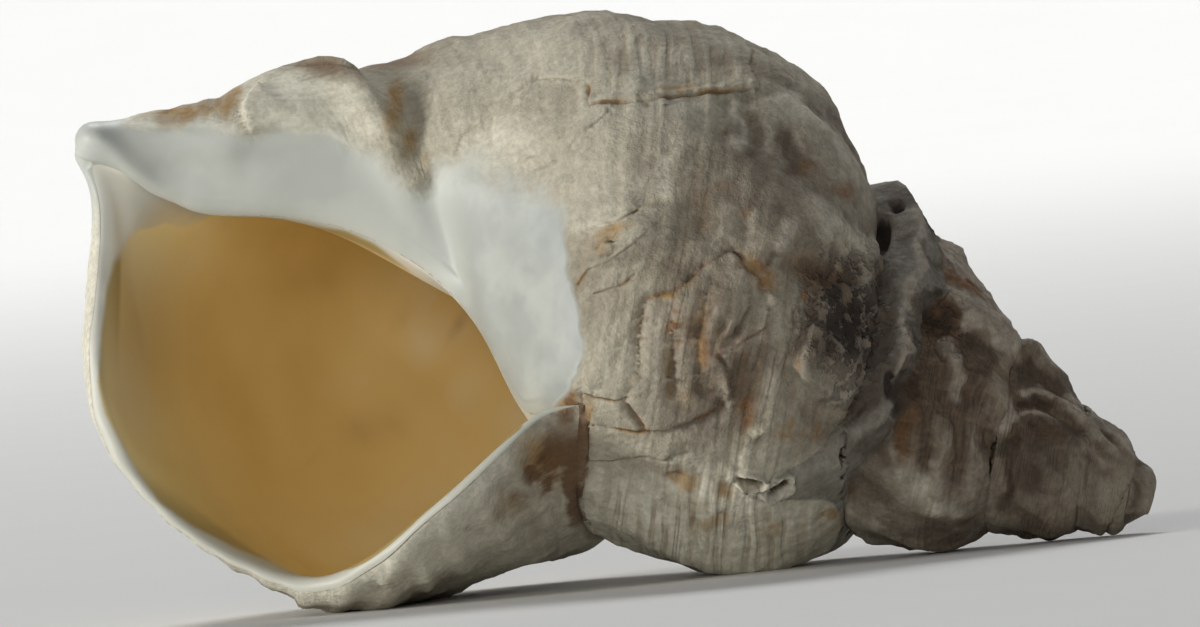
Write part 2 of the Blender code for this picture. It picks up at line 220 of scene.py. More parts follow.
@dataclass
class WhorlForm:
    """The outline of a whorl and how it departs from round."""

    growth: Growth
    outline: list = field(default_factory=lambda: [
        (SUTURE, 13.4), (34.2, 15.5), (35.8, 17.9), (38.2, 20.1), (41.3, 21.8), (44.8, 22.8), (48.5, 23.2),
        (52.8, 23.3), (57.3, 22.8), (61.3, 20.3), (65, 16.3), (68.5, 12.2), (71.5, 8.9), (74, 5.2),
    ])
    base_slope: float = 1.7
    flat_top: float = 0.08
    shoulder_slope: float = 0.105
    spire_fill: float = 0.09
    spire_straight: float = 0.45
    fold_rise: float = 0.035

    def __post_init__(self) -> None:
        """Draw the outline's curve once."""
        self.curve = curve_through(self.outline)

    def early_and_up(self, azimuth: Values) -> Values:
        """1 on the upper side of the spire's early turns and 0 below and on the last one."""
        return ease((radians(-60) - azimuth) / radians(120)) * (0.5 + 0.5 * np.sin(azimuth))

    def fill(self, azimuth: Values) -> Values:
        """Factor by which the turns of the spire are wider on the side away from the ground."""
        return 1 + self.spire_fill * self.early_and_up(azimuth)

    def straight(self, azimuth: Values, inside: Values) -> Values:
        """How far a turn is drawn in towards the cone between its sutures, most on its upper side."""
        return self.spire_straight * self.early_and_up(azimuth) * ease((66 - inside) / 8)

    def folds(self, azimuth: Values, inside: Values) -> Values:
        """Share by which the axial folds lift the surface.

        Args:
            azimuth: azimuths that count whole turns.
            inside: heights on the reference turn's scale.

        Returns:
            The share at each of them.
        """
        along = (inside - self.outline[0][0]) / (self.outline[8][0] - self.outline[0][0])
        wave = 0.5 + 0.5 * np.cos(FOLDS_PER_TURN * (azimuth - FOLD_LEAN * (along - 0.5)))
        middle = ease(along / 0.3) * ease((1.25 - along) / 0.5)
        fade = 1 - 0.75 * ease((azimuth - radians(-120)) / radians(330))
        return self.fold_rise * wave * middle * fade

    def radius(self, azimuth: Values, height: Values) -> Values:
        """Radius of the spiral whorl.

        Args:
            azimuth: azimuths that count whole turns.
            height: heights along the axis.

        Returns:
            The radius at each of them.
        """
        scale = self.growth.scale(azimuth)
        inside = height / scale
        radius = np.interp(inside, self.curve[:, 0], self.curve[:, 1])
        last = self.curve[-1]
        radius = np.where(inside > last[0], last[1] - self.base_slope * (inside - last[0]), radius)
        cone = inside * self.outline[0][1] / self.outline[0][0]
        radius = radius + (cone - radius) * self.straight(azimuth, inside)
        flat = self.flat_top * np.exp(-((azimuth - self.growth.reference) / radians(55)) ** 2)
        flat = flat * ease((inside - 44) / 14)
        slope = self.shoulder_slope * np.exp(-((inside - 37.3) / 4.8) ** 2)
        flat = flat + slope * ease((azimuth - radians(205)) / radians(65))
        return scale * radius * (1 - flat + self.folds(azimuth, inside)) * self.fill(azimuth)

    def suture(self, azimuth: Values) -> Values:
        """Points of the suture at azimuths that count whole turns.

        Args:
            azimuth: azimuths that count whole turns.

        Returns:
            Points in the shell's axes.
        """
        height, radius = self.outline[0]
        scale = self.growth.scale(azimuth)
        radius = radius * scale * self.fill(azimuth)
        return np.stack([height * scale, radius * np.sin(azimuth), radius * np.cos(azimuth)], axis=-1)


@dataclass
class ColumnForm:
    """The twisted column that carries the canal, with the fasciole round it."""

    growth: Growth
    rows: list = field(default_factory=lambda: [
        (3, 0, 0, 0.3), (30, 0, 0, 2.4), (48.4, 0, 0, 4.2), (59.7, 0.3, 0, 4.7),
        (66.9, 1.6, 0, 5), (72.1, 2.9, 0, 5.3), (77, 3.1, 0.2, 5.3), (80.6, 1.8, 0.8, 5),
        (83, 0.6, 1.6, 4.6), (86.4, -0.8, 2.4, 3.7), (89.2, -2.1, 3.2, 3), (91.9, -3.3, 3.9, 2.5),
        (94.4, -4.2, 4.3, 2.2),
    ])
    end: float = 94.4
    rounding: float = 1.6
    fasciole_height: float = 78.5
    fasciole_rise: float = 1.9
    fasciole_width: float = 2.9

    def __post_init__(self) -> None:
        """Draw the column's curve once."""
        self.curve = curve_through(self.rows)

    def centre(self, height: Values) -> tuple[Values, Values]:
        """Centre (u, v) of the column at heights."""
        keys = self.curve[:, 0]
        return np.interp(height, keys, self.curve[:, 1]), np.interp(height, keys, self.curve[:, 2])

    def plain_radius(self, height: Values) -> Values:
        """Radius of the column without the fasciole."""
        return np.interp(height, self.curve[:, 0], self.curve[:, 3])

    def radius(self, azimuth: Values, height: Values) -> Values:
        """Radius of the column with the ridge that the canal's notch left on it.

        Args:
            azimuth: azimuths that count whole turns.
            height: heights along the axis.

        Returns:
            The radius at each of them.
        """
        plain = self.plain_radius(height)
        ridge = self.fasciole_height * self.growth.scale(azimuth)
        front = ease((azimuth - radians(-30)) / radians(80))
        rise = self.fasciole_rise * front * np.exp(-((height - ridge) / self.fasciole_width) ** 2)
        return plain + rise * np.clip(plain / 4, 0, 1)

    def azimuth_of(self, points: Values) -> Values:
        """Azimuth of points about the column's centre."""
        centre_u, centre_v = self.centre(points[..., 0])
        return np.arctan2(points[..., 1] - centre_u, points[..., 2] - centre_v)

    def placed(self, azimuth: Values, height: Values, radius: Values) -> Values:
        """Points at an azimuth, a height and a radius about the column's centre."""
        centre_u, centre_v = self.centre(height)
        return np.stack([height + 0 * radius, centre_u + radius * np.sin(azimuth),
                         centre_v + radius * np.cos(azimuth)], axis=-1)


@dataclass
class Sheet:
    """A grid of surface points with what the relief and the finishes need to know about each."""

    part: Part
    points: Values
    azimuth: Values
    inside: Values
    inward: Values
    column: Values

    def channels(self) -> dict[str, Values]:
        """The values that ride on the mesh, by attribute name."""
        return {"azimuth": self.azimuth, "inside": self.inside, "inward": self.inward,
                "column": self.column, "part": np.full(self.azimuth.shape, float(self.part.value))}


@dataclass
class ShellForm:
    """The smooth form of the whole shell: spire, last turn, lip and hollow."""

    growth: Growth
    whorl: WhorlForm
    column: ColumnForm
    lip_edge: list = field(default_factory=lambda: [
        (51.2, -10.6, 17.9), (53.1, -14.3, 20.6), (55.1, -18.4, 22), (57.3, -22.4, 21.4),
        (59.2, -26.3, 19.3), (61.5, -29.1, 17), (63.8, -30.7, 15.3), (67.5, -31, 13.9),
        (72.3, -30.7, 12.5), (77.1, -29.4, 11.3), (82, -26.8, 9.8), (85.2, -23.9, 8.7),
        (87.6, -19.1, 7.5), (89.6, -11.9, 6.1), (91.3, -7.2, 5), (93.7, -4.8, 4.5),
    ])
    inner_edge: list = field(default_factory=lambda: [
        (51.5, -10.9, 12.6), (52.9, -11.3, 10.5), (55.8, -8.7, 9), (58.6, -6.2, 7.6),
        (62.6, -3.9, 5.6), (66.9, -2.8, 4.8), (72.2, -2.5, 4.4), (77.5, -3.6, 4.2), (83.1, -5.6, 4),
        (86.4, -5.2, 4), (89.3, -4.5, 4.2), (91.8, -4.5, 4.3), (93.7, -4.8, 4.5),
    ])
    wall: float = 1.5
    lip_wall: float = 2.1
    glaze: float = 0.5
    glaze_blend: float = 1.6
    neck: float = 2.6
    lip_bulge: float = 0.36
    column_bulge: float = 0.06
    notch_depth: float = 0.2
    hollow_turn: float = radians(285)
    hollow_top: float = 1.6
    hollow_bottom: float = 92.4
    bottom_gap: float = 0.4
    bottom_speed: float = 1.25
    first_ring: float = 0.0164
    ring_spread: float = 1.15
    lip_notched: tuple = (53, 90.5)
    behind_canal: float = 76
    behind_shoulder: float = 84
    inner_lip_share: float = 0.14
    flare_share: float = 0.21
    flare_ease: float = 1.4
    past_lip_below: float = 0.6
    past_lip_ahead: float = 0.5
    dome_height: float = 6
    dome_radius: float = 3.1
    tip_swell: float = 0.15
    tip_from: float = 15
    tip_full: float = 6
    front_steps: int = 124
    back_steps: int = 44
    flare_steps: int = 56
    band: int = 28
    outline: int = 144
    rim_rings: int = 6
    rings: int = 36

    def __post_init__(self) -> None:
        """Share out the steps of a turn: fine in front and at the lip, coarser behind."""
        front = np.linspace(-26, 118, self.front_steps, endpoint=False)
        back = np.linspace(118, 262, self.back_steps, endpoint=False)
        flare = np.linspace(262, 334, self.flare_steps + 1)
        self.shares = (np.concatenate([front, back, flare]) + 26) / 360

    def edge_curve(self, points: list) -> Values:
        """Smooth edge that starts at the suture's end and passes through the given points."""
        return curve_through([tuple(self.whorl.suture(self.growth.suture_end + TURN))] + points)

    def outside_radius(self, azimuth: Values, height: Values) -> Values:
        """Radius of the last turn's outside about the column's centre.

        Args:
            azimuth: azimuths that count whole turns.
            height: heights along the axis, from the suture to the canal's end.

        Returns:
            The radius, which falls to 0 at the canal's end.
        """
        start = self.whorl.outline[0][0] * self.growth.scale(azimuth)
        whorl = self.whorl.radius(azimuth, height)
        joined = larger(whorl, self.column.radius(azimuth, height), self.neck)
        away = ease((height - start) / 5)
        tip = np.clip((self.column.end - height) / self.column.rounding, 0, 1)
        return (whorl * (1 - away) + joined * away) * np.sqrt(1 - (1 - tip) ** 2)

    def spire(self) -> Sheet:
        """The band that stays in sight on the turns before the last one.

        Returns:
            The sheet, whose last row is where the last turn starts.
        """
        turns = [k + self.shares[:-1:min(-k, 3)] for k in range(-self.growth.turns_before_last, 0)]
        azimuths = self.growth.suture_end + TURN * np.concatenate(turns + [[0]])
        rows, lines = [], np.linspace(0, 1, self.band + 1)
        for azimuth in azimuths:
            start, below = self.whorl.suture(azimuth), self.whorl.suture(azimuth + TURN)
            height = np.linspace(start[0], below[0], 160)
            radius = self.whorl.radius(azimuth, height)
            line = np.stack([height, radius * np.sin(azimuth), radius * np.cos(azimuth)], axis=-1)
            line[0], line[-1] = start, below
            rows.append(at_shares(line, lines))
        points = np.array(rows)
        azimuth = np.repeat(azimuths[:, None], self.band + 1, axis=1)
        return Sheet(Part.SPIRE, points, azimuth, points[..., 0] / self.growth.scale(azimuth),
                     np.full(azimuth.shape, -99.0), np.zeros(azimuth.shape))

    def notched(self, edge: Values) -> Values:
        """The lip's edge, which the ends of the spiral cords push out and in.

        Args:
            edge: points along the edge.

        Returns:
            The points, moved away from the axis and towards it.
        """
        inside = edge[:, 0] / self.growth.scale(self.growth.suture_end + TURN)
        wave = np.cos(TURN * (inside - FIRST_CORD) / CORD_SPACING)
        wave = np.maximum(wave, -0.6) + 0.9 * cloud_noise(edge, 5, 301, 3)
        start, end = self.lip_notched
        wave *= ease((edge[:, 0] - start) / 5) * ease((end - edge[:, 0]) / 4) * self.notch_depth
        outward = edge * (0, 1, 1)
        return edge + outward * (wave / np.maximum(np.linalg.norm(outward, axis=1), 1))[:, None]

    def behind_lip(self, points: Values) -> Values:
        """Points of the last turn, moved so that its back shows no further than the lip's edge.

        Args:
            points: points of the last turn.

        Returns:
            The moved points.
        """
        lip = self.edge_curve(self.lip_edge)
        height = points[..., 0]
        rising = lip[np.argmin(lip[:, 1]):]
        ahead = np.interp(points[..., 1], rising[:, 1], rising[:, 0]) + self.past_lip_ahead
        pushed = larger(height - ahead, 0, 0.3) * ease((height - self.behind_canal) / 4)
        free = 40 * ease((65 - height) / 8)
        below = np.interp(height, lip[:, 0], lip[:, 1]) - self.past_lip_below - free
        raised = larger(below - points[..., 1], 0, 0.3) * ease((self.behind_shoulder - height) / 6)
        return points + np.stack([-pushed, raised, np.zeros_like(height)], axis=-1)

    def last_turn(self, band: Values) -> Sheet:
        """The outside of the last turn, from the inner lip (after the band) to the outer lip.

        Args:
            band: the last row of the spire's band, which this turn grows on from.

        Returns:
            The sheet, whose last row is the lip's edge.
        """
        past_band = np.linspace(0, 1, self.outline + 1 - self.band)
        whole = np.linspace(0, 1, self.outline + 1)
        outer = self.notched(at_shares(self.edge_curve(self.lip_edge), whole))
        inner = at_shares(self.edge_curve(self.inner_edge), past_band)
        first = np.full(self.outline + 1, self.growth.suture_end)
        first[self.band:] = self.column.azimuth_of(inner)
        first[-1] = first[-2]
        final = self.column.azimuth_of(outer) + TURN
        final[-1] = final[-2]
        turns = self.growth.suture_end + TURN * self.shares
        start = self.whorl.suture(turns)[:, 0]
        heights = start[:, None] + (self.column.end - start)[:, None] * np.linspace(0, 1, 240)
        radii = self.outside_radius(turns[:, None], heights)
        length = np.hypot(np.diff(heights[0]), np.diff(radii[0])).cumsum()
        band_share = np.interp(inner[0][0], heights[0][1:], length / length[-1])
        rows = np.empty((len(turns), self.outline + 1))
        for index, part in enumerate(self.shares):
            share = band_share + (self.band / self.outline - band_share) * ease(part / 0.25)
            shares = np.concatenate([np.linspace(0, share, self.band + 1)[:-1],
                                     share + (1 - share) * past_band])
            rows[index] = at_shares(np.stack([heights[index], radii[index]], axis=-1), shares)[:, 0]
        part = self.shares[:, None]
        azimuth = first * (1 - part) + final * part
        points = self.column.placed(azimuth, rows, self.outside_radius(azimuth, rows))
        points[:, 0] = self.whorl.suture(turns)
        leave = 1 - ease(part / self.inner_lip_share)
        reach = ease((part - 1 + self.flare_share) / self.flare_share) ** self.flare_ease
        points += (np.vstack([band, inner[1:]]) - points[0]) * leave[..., None]
        points += (outer - points[-1]) * reach[..., None]
        back = int(np.searchsorted(self.shares, 0.6))
        points[back:-1] = self.behind_lip(points[back:-1])
        steps = np.linalg.norm(np.diff(points, axis=0), axis=2)
        from_lip = np.vstack([np.cumsum(steps[::-1], axis=0)[::-1], np.zeros((1, points.shape[1]))])
        return Sheet(Part.LAST_WHORL, points, azimuth, points[..., 0] / self.growth.scale(azimuth),
                     -from_lip, np.zeros(azimuth.shape))

    def inner_wall(self, turn: float, heights: Values, inner: Values, inner_azimuth: Values) -> Values:
        """Line down the hollow's inner side, over the turn before and the column, some turn inwards.

        Args:
            turn: how far inwards the line lies, in radians.
            heights: the heights of its points.
            inner: the inner lip's edge.
            inner_azimuth: the azimuth along that edge.

        Returns:
            The line's points.
        """
        azimuth = np.interp(heights, inner[:, 0], inner_azimuth)
        column = self.column.plain_radius(heights)
        edge = larger(self.whorl.radius(azimuth, heights), column, self.glaze_blend) + self.glaze
        radius = larger(self.whorl.radius(azimuth - turn, heights), column, self.glaze_blend) + self.glaze
        gap = by_value(inner[:, 0], inner, heights) - self.column.placed(azimuth, heights, edge)
        return self.column.placed(azimuth - turn, heights, radius) + gap * exp(-(turn / 0.35) ** 2)

    def outer_wall(self, turn: float, heights: Values, outside: Values) -> Values:
        """Line down the hollow's outer side: the last turn's outside moved in by the wall.

        Args:
            turn: how far inwards the line lies, in radians.
            heights: the heights of its points.
            outside: the points of the last turn's outside.

        Returns:
            The line's points.
        """
        place = np.interp(1 - turn / TURN, self.shares, np.arange(len(self.shares)))
        low = int(place)
        high = min(low + 1, len(self.shares) - 1)
        skin = outside[low] + (outside[high] - outside[low]) * (place - low)
        normal = np.cross(np.gradient(skin, axis=0), outside[high] - outside[max(high - 6, 0)])
        normal /= np.maximum(np.linalg.norm(normal, axis=1), 1e-9)[:, None]
        outward = skin - self.column.placed(0, skin[:, 0], 0 * skin[:, 0])
        normal *= np.sign((normal * outward).sum(axis=1))[:, None]
        moved = skin - normal * (self.wall + (self.lip_wall - self.wall) * exp(-turn / 0.25))
        moved = moved[np.argsort(moved[:, 0])]
        return by_value(moved[:, 0], moved, heights)

    def hollow(self, outside: Values) -> Sheet:
        """The hollow: closed rings from the aperture's edge inwards, with a rounded rim.

        Args:
            outside: the points of the last turn's outside.

        Returns:
            The sheet, whose first ring lies on the aperture's edge.
        """
        shares = np.linspace(0, 1, self.outline + 1)
        back = np.linspace(1, 0, self.outline + 1 - self.band)[1:-1]
        inner = at_shares(self.edge_curve(self.inner_edge), np.linspace(0, 1, 400))
        inner_azimuth = self.column.azimuth_of(inner)
        inner_azimuth[-1] = inner_azimuth[-2]
        rings = [np.vstack([outside[-1], outside[0][self.band + 1:-1][::-1]])]
        turns = self.hollow_turn * np.linspace(self.first_ring, 1, self.rings) ** self.ring_spread
        for turn in turns:
            suture = self.whorl.suture(self.growth.suture_end + TURN - turn)
            top = suture[0] + self.hollow_top * exp(-self.growth.rate * turn)
            bottom = self.hollow_bottom * exp(-self.growth.rate * self.bottom_speed * turn) - self.bottom_gap
            heights = top + (bottom - top) * shares
            inner_line = self.inner_wall(turn, heights, inner, inner_azimuth)
            outer_line = self.outer_wall(turn, heights, outside)
            opening = (1 - np.abs(2 * shares - 1) ** 7) ** (1 / 3)
            loop = inner_line + (outer_line - inner_line) * opening[:, None]
            rings.append(np.vstack([loop, at_shares(inner_line, back)]))
        rings = self.rounded_rim(rings, outside)
        rings = np.concatenate([rings, rings[:, :1]], axis=1)
        inward = np.linalg.norm(np.diff(rings, axis=0), axis=2).cumsum(axis=0)
        inward = np.vstack([np.zeros((1, rings.shape[1])), inward])
        turned = np.concatenate([np.zeros(1 + self.rim_rings), turns])
        azimuth = self.growth.suture_end + TURN - np.repeat(turned[:, None], rings.shape[1], axis=1)
        opening = (1 - np.abs(2 * shares - 1) ** 5) ** 0.5
        column = np.concatenate([1 - opening, np.ones(rings.shape[1] - len(shares))])
        column = np.repeat(column[None, :], len(rings), axis=0)
        return Sheet(Part.HOLLOW, rings, azimuth, rings[..., 0] / self.growth.scale(azimuth), inward, column)

    def rounded_rim(self, rings: list, outside: Values) -> Values:
        """The rings with rows added between the edge and the first ring, which round the rim.

        Args:
            rings: the hollow's rings, with the aperture's edge first.
            outside: the points of the last turn's outside.

        Returns:
            All the rings.
        """
        edge, first = rings[0], rings[1]
        forward = np.zeros_like(edge)
        lip = len(outside[0])
        forward[:lip] = outside[-1] - outside[-8]
        forward[lip:] = (outside[0] - outside[8])[self.band + 1:-1][::-1]
        forward /= np.maximum(np.linalg.norm(forward, axis=1), 1e-9)[:, None]
        forward[:lip] *= self.lip_bulge * ease((91 - edge[:lip, :1]) / 6)
        forward[lip:] *= self.column_bulge
        across = np.linalg.norm(first - edge, axis=1)[:, None]
        share = np.linspace(0, 1, self.rim_rings + 2)[1:-1]
        added = [edge + (first - edge) * 0.5 * (1 - np.cos(pi * t))
                 + forward * across * np.sin(pi * t) for t in share]
        return np.array([edge] + added + rings[1:])

    def worn_tip(self, points: Values) -> Values:
        """Thicken the spire's tip and wear it down to its dome.

        Args:
            points: points of the spire.

        Returns:
            The worn points.
        """
        share = (self.tip_from - points[..., 0]) / (self.tip_from - self.tip_full)
        swell = 1 + self.tip_swell * ease(share)
        points = points * np.stack([np.ones_like(swell), swell, swell], axis=-1)
        centre = np.array([self.dome_height, 0, 0])
        away = points - centre
        distance = np.linalg.norm(away, axis=-1, keepdims=True)
        worn = centre + away * self.dome_radius / np.maximum(distance, 1e-6)
        outside = (points[..., :1] < self.dome_height) & (distance > self.dome_radius)
        return np.where(outside, worn, points)

    def sheets(self) -> list[Sheet]:
        """All sheets of the shell's surface, which share their borders.

        Returns:
            The spire, the last turn and the hollow.
        """
        spire = self.spire()
        last = self.last_turn(spire.points[-1])
        hollow = self.hollow(last.points)
        spire.points = self.worn_tip(spire.points)
        return [spire, last, hollow]


@dataclass(frozen=True)
class Rest:
    """How the shell lies in the frame: turned about Y and then X, with its axis starting at a point."""

    pitch: float = radians(26.3)
    roll: float = radians(-1)
    axis_start: tuple = (44.88, -2.72, 0.89)

    @property
    def turn(self) -> Matrix:
        """Rotation from the shell's own axes to the frame's."""
        return Matrix.Rotation(self.roll, 3, "X") @ Matrix.Rotation(self.pitch, 3, "Y")

    def direction(self, height: float, u: float, v: float) -> Vector:
        """A direction in the shell's axes, turned into the frame."""
        return self.turn @ Vector((-height, -v, u))

    def lay(self, points: Values) -> Values:
        """Points in the shell's axes, laid down in the frame, in metres."""
        model = np.stack([-points[..., 0], -points[..., 2], points[..., 1]], axis=-1)
        return (model @ np.array(self.turn).T + np.array(self.axis_start)) * MM

    def lift(self, points: Values) -> Values:
        """Points of the frame in metres, back in the shell's axes."""
        model = (points / MM - np.array(self.axis_start)) @ np.array(self.turn)
        return np.stack([-model[..., 0], model[..., 2], -model[..., 1]], axis=-1)


@dataclass(frozen=True)
class PhotoView:
    """Where the photograph, 1200 by 627 pixels, sees a point of the shell from far along v."""

    pole_x: float = 1187
    pole_y: float = 518
    pixels_per_mm: float = 12.4
    along: float = 0.934
    across: float = 0.357

    def pixels(self, points: Values) -> Values:
        """Pixel coordinates (x to the right, y down) of points in the shell's axes."""
        height, u = points[..., 0] * self.pixels_per_mm, points[..., 1] * self.pixels_per_mm
        return np.stack([self.pole_x - self.along * height + self.across * u,
                         self.pole_y - self.across * height - self.along * u], axis=-1)

    def spot(self, x: float, y: float) -> tuple[float, float]:
        """Height and u that a pixel sees."""
        right, down = (x - self.pole_x) / self.pixels_per_mm, (y - self.pole_y) / self.pixels_per_mm
        return -self.along * right - self.across * down, self.across * right - self.along * down


@dataclass
class Skin:
    """What the relief and the finishes know about every point of the shell's surface."""

    points: Values
    normals: Values
    azimuth: Values
    inside: Values
    inward: Values
    column: Values
    part: Values
    pixels: Values
    facing: Values

    @property
    def x(self) -> Values:
        """How far to the right the photograph shows each point, in pixels."""
        return self.pixels[:, 0]

    @property
    def y(self) -> Values:
        """How far down the photograph shows each point, in pixels."""
        return self.pixels[:, 1]

    @property
    def outside(self) -> Values:
        """Which points lie on the outside of the whorls."""
        return self.part < Part.HOLLOW.value - 0.5

    @property
    def on_spire(self) -> Values:
        """Which points lie on the turns before the last one."""
        return self.part < Part.LAST_WHORL.value - 0.5

    def in_front(self, start: float, width: float) -> Values:
        """1 where the surface faces the camera, eased in over a width from a start (-1 to 1)."""
        return ease((self.facing - start) / width)


def to_line(pixels: Values, line: list) -> tuple[Values, Values]:
    """Distance from pixels to a line through named pixels.

    Args:
        pixels: rows of x and y.
        line: the line's corners.

    Returns:
        The distance in pixels, positive on the line's left as it runs, and the share along the line.
    """
    corners = np.array(line, float)
    nearest = np.full(len(pixels), 1.0e9)
    signed, along = nearest.copy(), np.zeros(len(pixels))
    lengths = lengths_along(corners)
    for index in range(len(corners) - 1):
        start, way = corners[index], corners[index + 1] - corners[index]
        size = float(np.hypot(*way))
        gap = pixels - start
        share = np.clip((gap @ way) / (size * size), 0, 1)
        away = gap - share[:, None] * way
        distance = np.hypot(away[:, 0], away[:, 1])
        closer = distance < nearest
        side = np.where(way[0] * gap[:, 1] - way[1] * gap[:, 0] < 0, 1, -1)
        nearest = np.where(closer, distance, nearest)
        signed = np.where(closer, distance * side, signed)
        along = np.where(closer, lengths[index] + share * (lengths[index + 1] - lengths[index]), along)
    return signed, along


def to_patch(pixels: Values, outline: list) -> Values:
    """Distance in pixels from a closed patch's outline, negative inside it.

    Args:
        pixels: rows of x and y.
        outline: the patch's corners.

    Returns:
        One distance for each pixel.
    """
    corners = np.vstack([outline, outline[:1]]).astype(float)
    distance = np.abs(to_line(pixels, corners)[0])
    within = np.zeros(len(pixels), bool)
    for start, end in zip(corners[:-1], corners[1:]):
        crosses = (start[1] > pixels[:, 1]) != (end[1] > pixels[:, 1])
        rise = end[1] - start[1] if end[1] != start[1] else 1e-9
        x = start[0] + (pixels[:, 1] - start[1]) * (end[0] - start[0]) / rise
        within ^= crosses & (pixels[:, 0] < x)
    return np.where(within, -distance, distance)


@dataclass
class KeeledTube:
    """The crusty, keeled worm tube that follows the last suture and opens in front.

    Behind, it is a plain ridge. In front, its keel leans away from the body whorl: one flank fills the
    suture and the other drops steeply to the spire.
    """

    view: PhotoView
    path: list = field(default_factory=lambda: [
        (120, 33.8, 16.6), (90, 31.2, 17.4), (72, 29.2, 16.5), (54, 27.6, 15.3), (38, 26.8, 14.5),
        (24, 26.5, 14.2), (11, 26.1, 14), (0, 26.2, 13.9), (-11, 26.4, 13.9), (-23.5, 28.5, 14.5),
        (-32, 31.1, 16.9), (-37, 34.6, 18.6),
    ])
    slope: float = 1.1
    reach: float = 4.5
    rounding: float = 0.3
    lift: float = 0.5
    flank_rise: float = 0.2
    flank_width: float = 2.9
    flank_end: float = 7.5
    seen_reach: float = 9
    fill_rise: float = 0.85
    fall: float = 2.4
    front: tuple = (66, 48)

    def __post_init__(self) -> None:
        """Draw the keel's curve once, in the shell's axes and in the photograph's pixels."""
        self.curve = curve_through(self.path)[::2]
        turn = np.radians(self.curve[:, 0])
        radius = self.curve[:, 2]
        place = np.stack([self.curve[:, 1], radius * np.sin(turn), radius * np.cos(turn)], axis=-1)
        shown = self.curve[:, 0] < self.front[0] + 20
        self.keel_pixels, self.keel_front = self.view.pixels(place[shown]), place[shown, 2]

    def near(self, points: Values) -> tuple[Values, Values]:
        """The distance from points to the tube's line, and the radius of its keel there.

        Args:
            points: points in the shell's axes.

        Returns:
            The distances and the radii.
        """
        azimuth = np.degrees(np.arctan2(points[:, 1], points[:, 2]))
        nearest = np.full(len(points), 1.0e9)
        keel = np.zeros(len(points))
        for turn, height, top in self.curve:
            across = radians(1) * (azimuth - turn) * top
            gap = np.hypot(across, points[:, 0] - height)
            closer = gap < nearest
            nearest = np.where(closer, gap, nearest)
            keel = np.where(closer, top, keel)
        return nearest, keel

    def beside_keel(self, pixels: Values) -> tuple[Values, Values]:
        """Millimetres to the keel in front, positive towards the spire, and the share along it."""
        signed, along = to_line(pixels, self.keel_pixels)
        return signed / self.view.pixels_per_mm, along

    def ridge_behind(self, points: Values, outside: Values) -> tuple[Values, Values]:
        """The plain ridge that the tube is away from the camera.

        Args:
            points: points in the shell's axes.
            outside: which of them lie on the shell's outside.

        Returns:
            The points' radii, and the radii with the ridge over them.
        """
        distance, keel = self.near(points)
        radius = np.hypot(points[:, 1], points[:, 2])
        wedge = keel - self.slope * np.sqrt(distance ** 2 + 0.2)
        beside = outside & (distance < self.reach)
        return radius, np.where(beside, larger(radius, wedge, self.rounding), radius)

    def keel_ahead(self, signed: Values, along: Values) -> tuple[Values, Values]:
        """The leaning keel that the tube is in front.

        Args:
            signed: millimetres to the keel, positive towards the spire.
            along: the share along it.

        Returns:
            How far out of the aperture's side it stands, and 1 on the tube's own flank.
        """
        top = np.interp(along, lengths_along(self.keel_pixels), self.keel_front)
        width = self.flank_width * (1.3 - 0.75 * along)
        left = np.maximum(-signed, 0)
        past = np.maximum(left - width, 0)
        flank = self.flank_rise * left - 0.9 * np.exp(-((left - width) / 0.5) ** 2)
        flank += self.fill_rise * (1 - 0.6 * ease((along - 0.6) / 0.2)) * past
        drop = self.fall * (np.sqrt(np.maximum(signed, 0) ** 2 + 0.04) - 0.2)
        front = top + self.lift + flank - drop - 4 * ease((along - 0.97) / 0.03)
        front -= 3 * np.maximum(left - self.flank_end, 0)
        front -= 2 * np.maximum(left - width - 0.5, 0) * ease((along - 0.75) / 0.1)
        return front, ease((width - left) / 0.5 + 0.5)

    def raised(self, points: Values, outside: Values, facing: Values) -> tuple[Values, Values]:
        """Points with the tube raised over them.

        Args:
            points: points in the shell's axes.
            outside: which of them lie on the shell's outside.
            facing: how far the surface there faces the camera.

        Returns:
            The points, and how much of each belongs to the tube.
        """
        azimuth = np.degrees(np.arctan2(points[:, 1], points[:, 2]))
        start, end = self.front
        ahead = ease((start - azimuth) / (start - end)) * (facing > -0.2)
        radius, lifted = self.ridge_behind(points, outside)
        factor = 1 + (lifted / np.maximum(radius, 1e-6) - 1) * (1 - ahead)
        raised = points * np.stack([np.ones_like(factor), factor, factor], axis=-1)
        signed, along = self.beside_keel(self.view.pixels(points))
        front, own = self.keel_ahead(signed, along)
        near = outside & (np.abs(signed) < self.seen_reach) & (ahead > 0)
        pushed = np.where(near, larger(points[:, 2], front, 0.18) - points[:, 2], 0) * ahead
        raised[:, 2] += pushed
        return raised, np.maximum(ease((lifted - radius) / 0.35) * (1 - ahead), ease(pushed / 0.4) * own)


@dataclass(frozen=True)
class Crack:
    """A break in a layer of shell: a line of named pixels, with a step and a gap along it."""

    line: tuple
    step: float = 0.12
    gap: float = 0.15
    width: float = 0.9
    stain: float = 0.6
    half_gap: float = 0.11

    def within(self, along: Values) -> Values:
        """1 along the break, falling to 0 at its ends."""
        return ease(along / 0.06) * ease((1 - along) / 0.06)


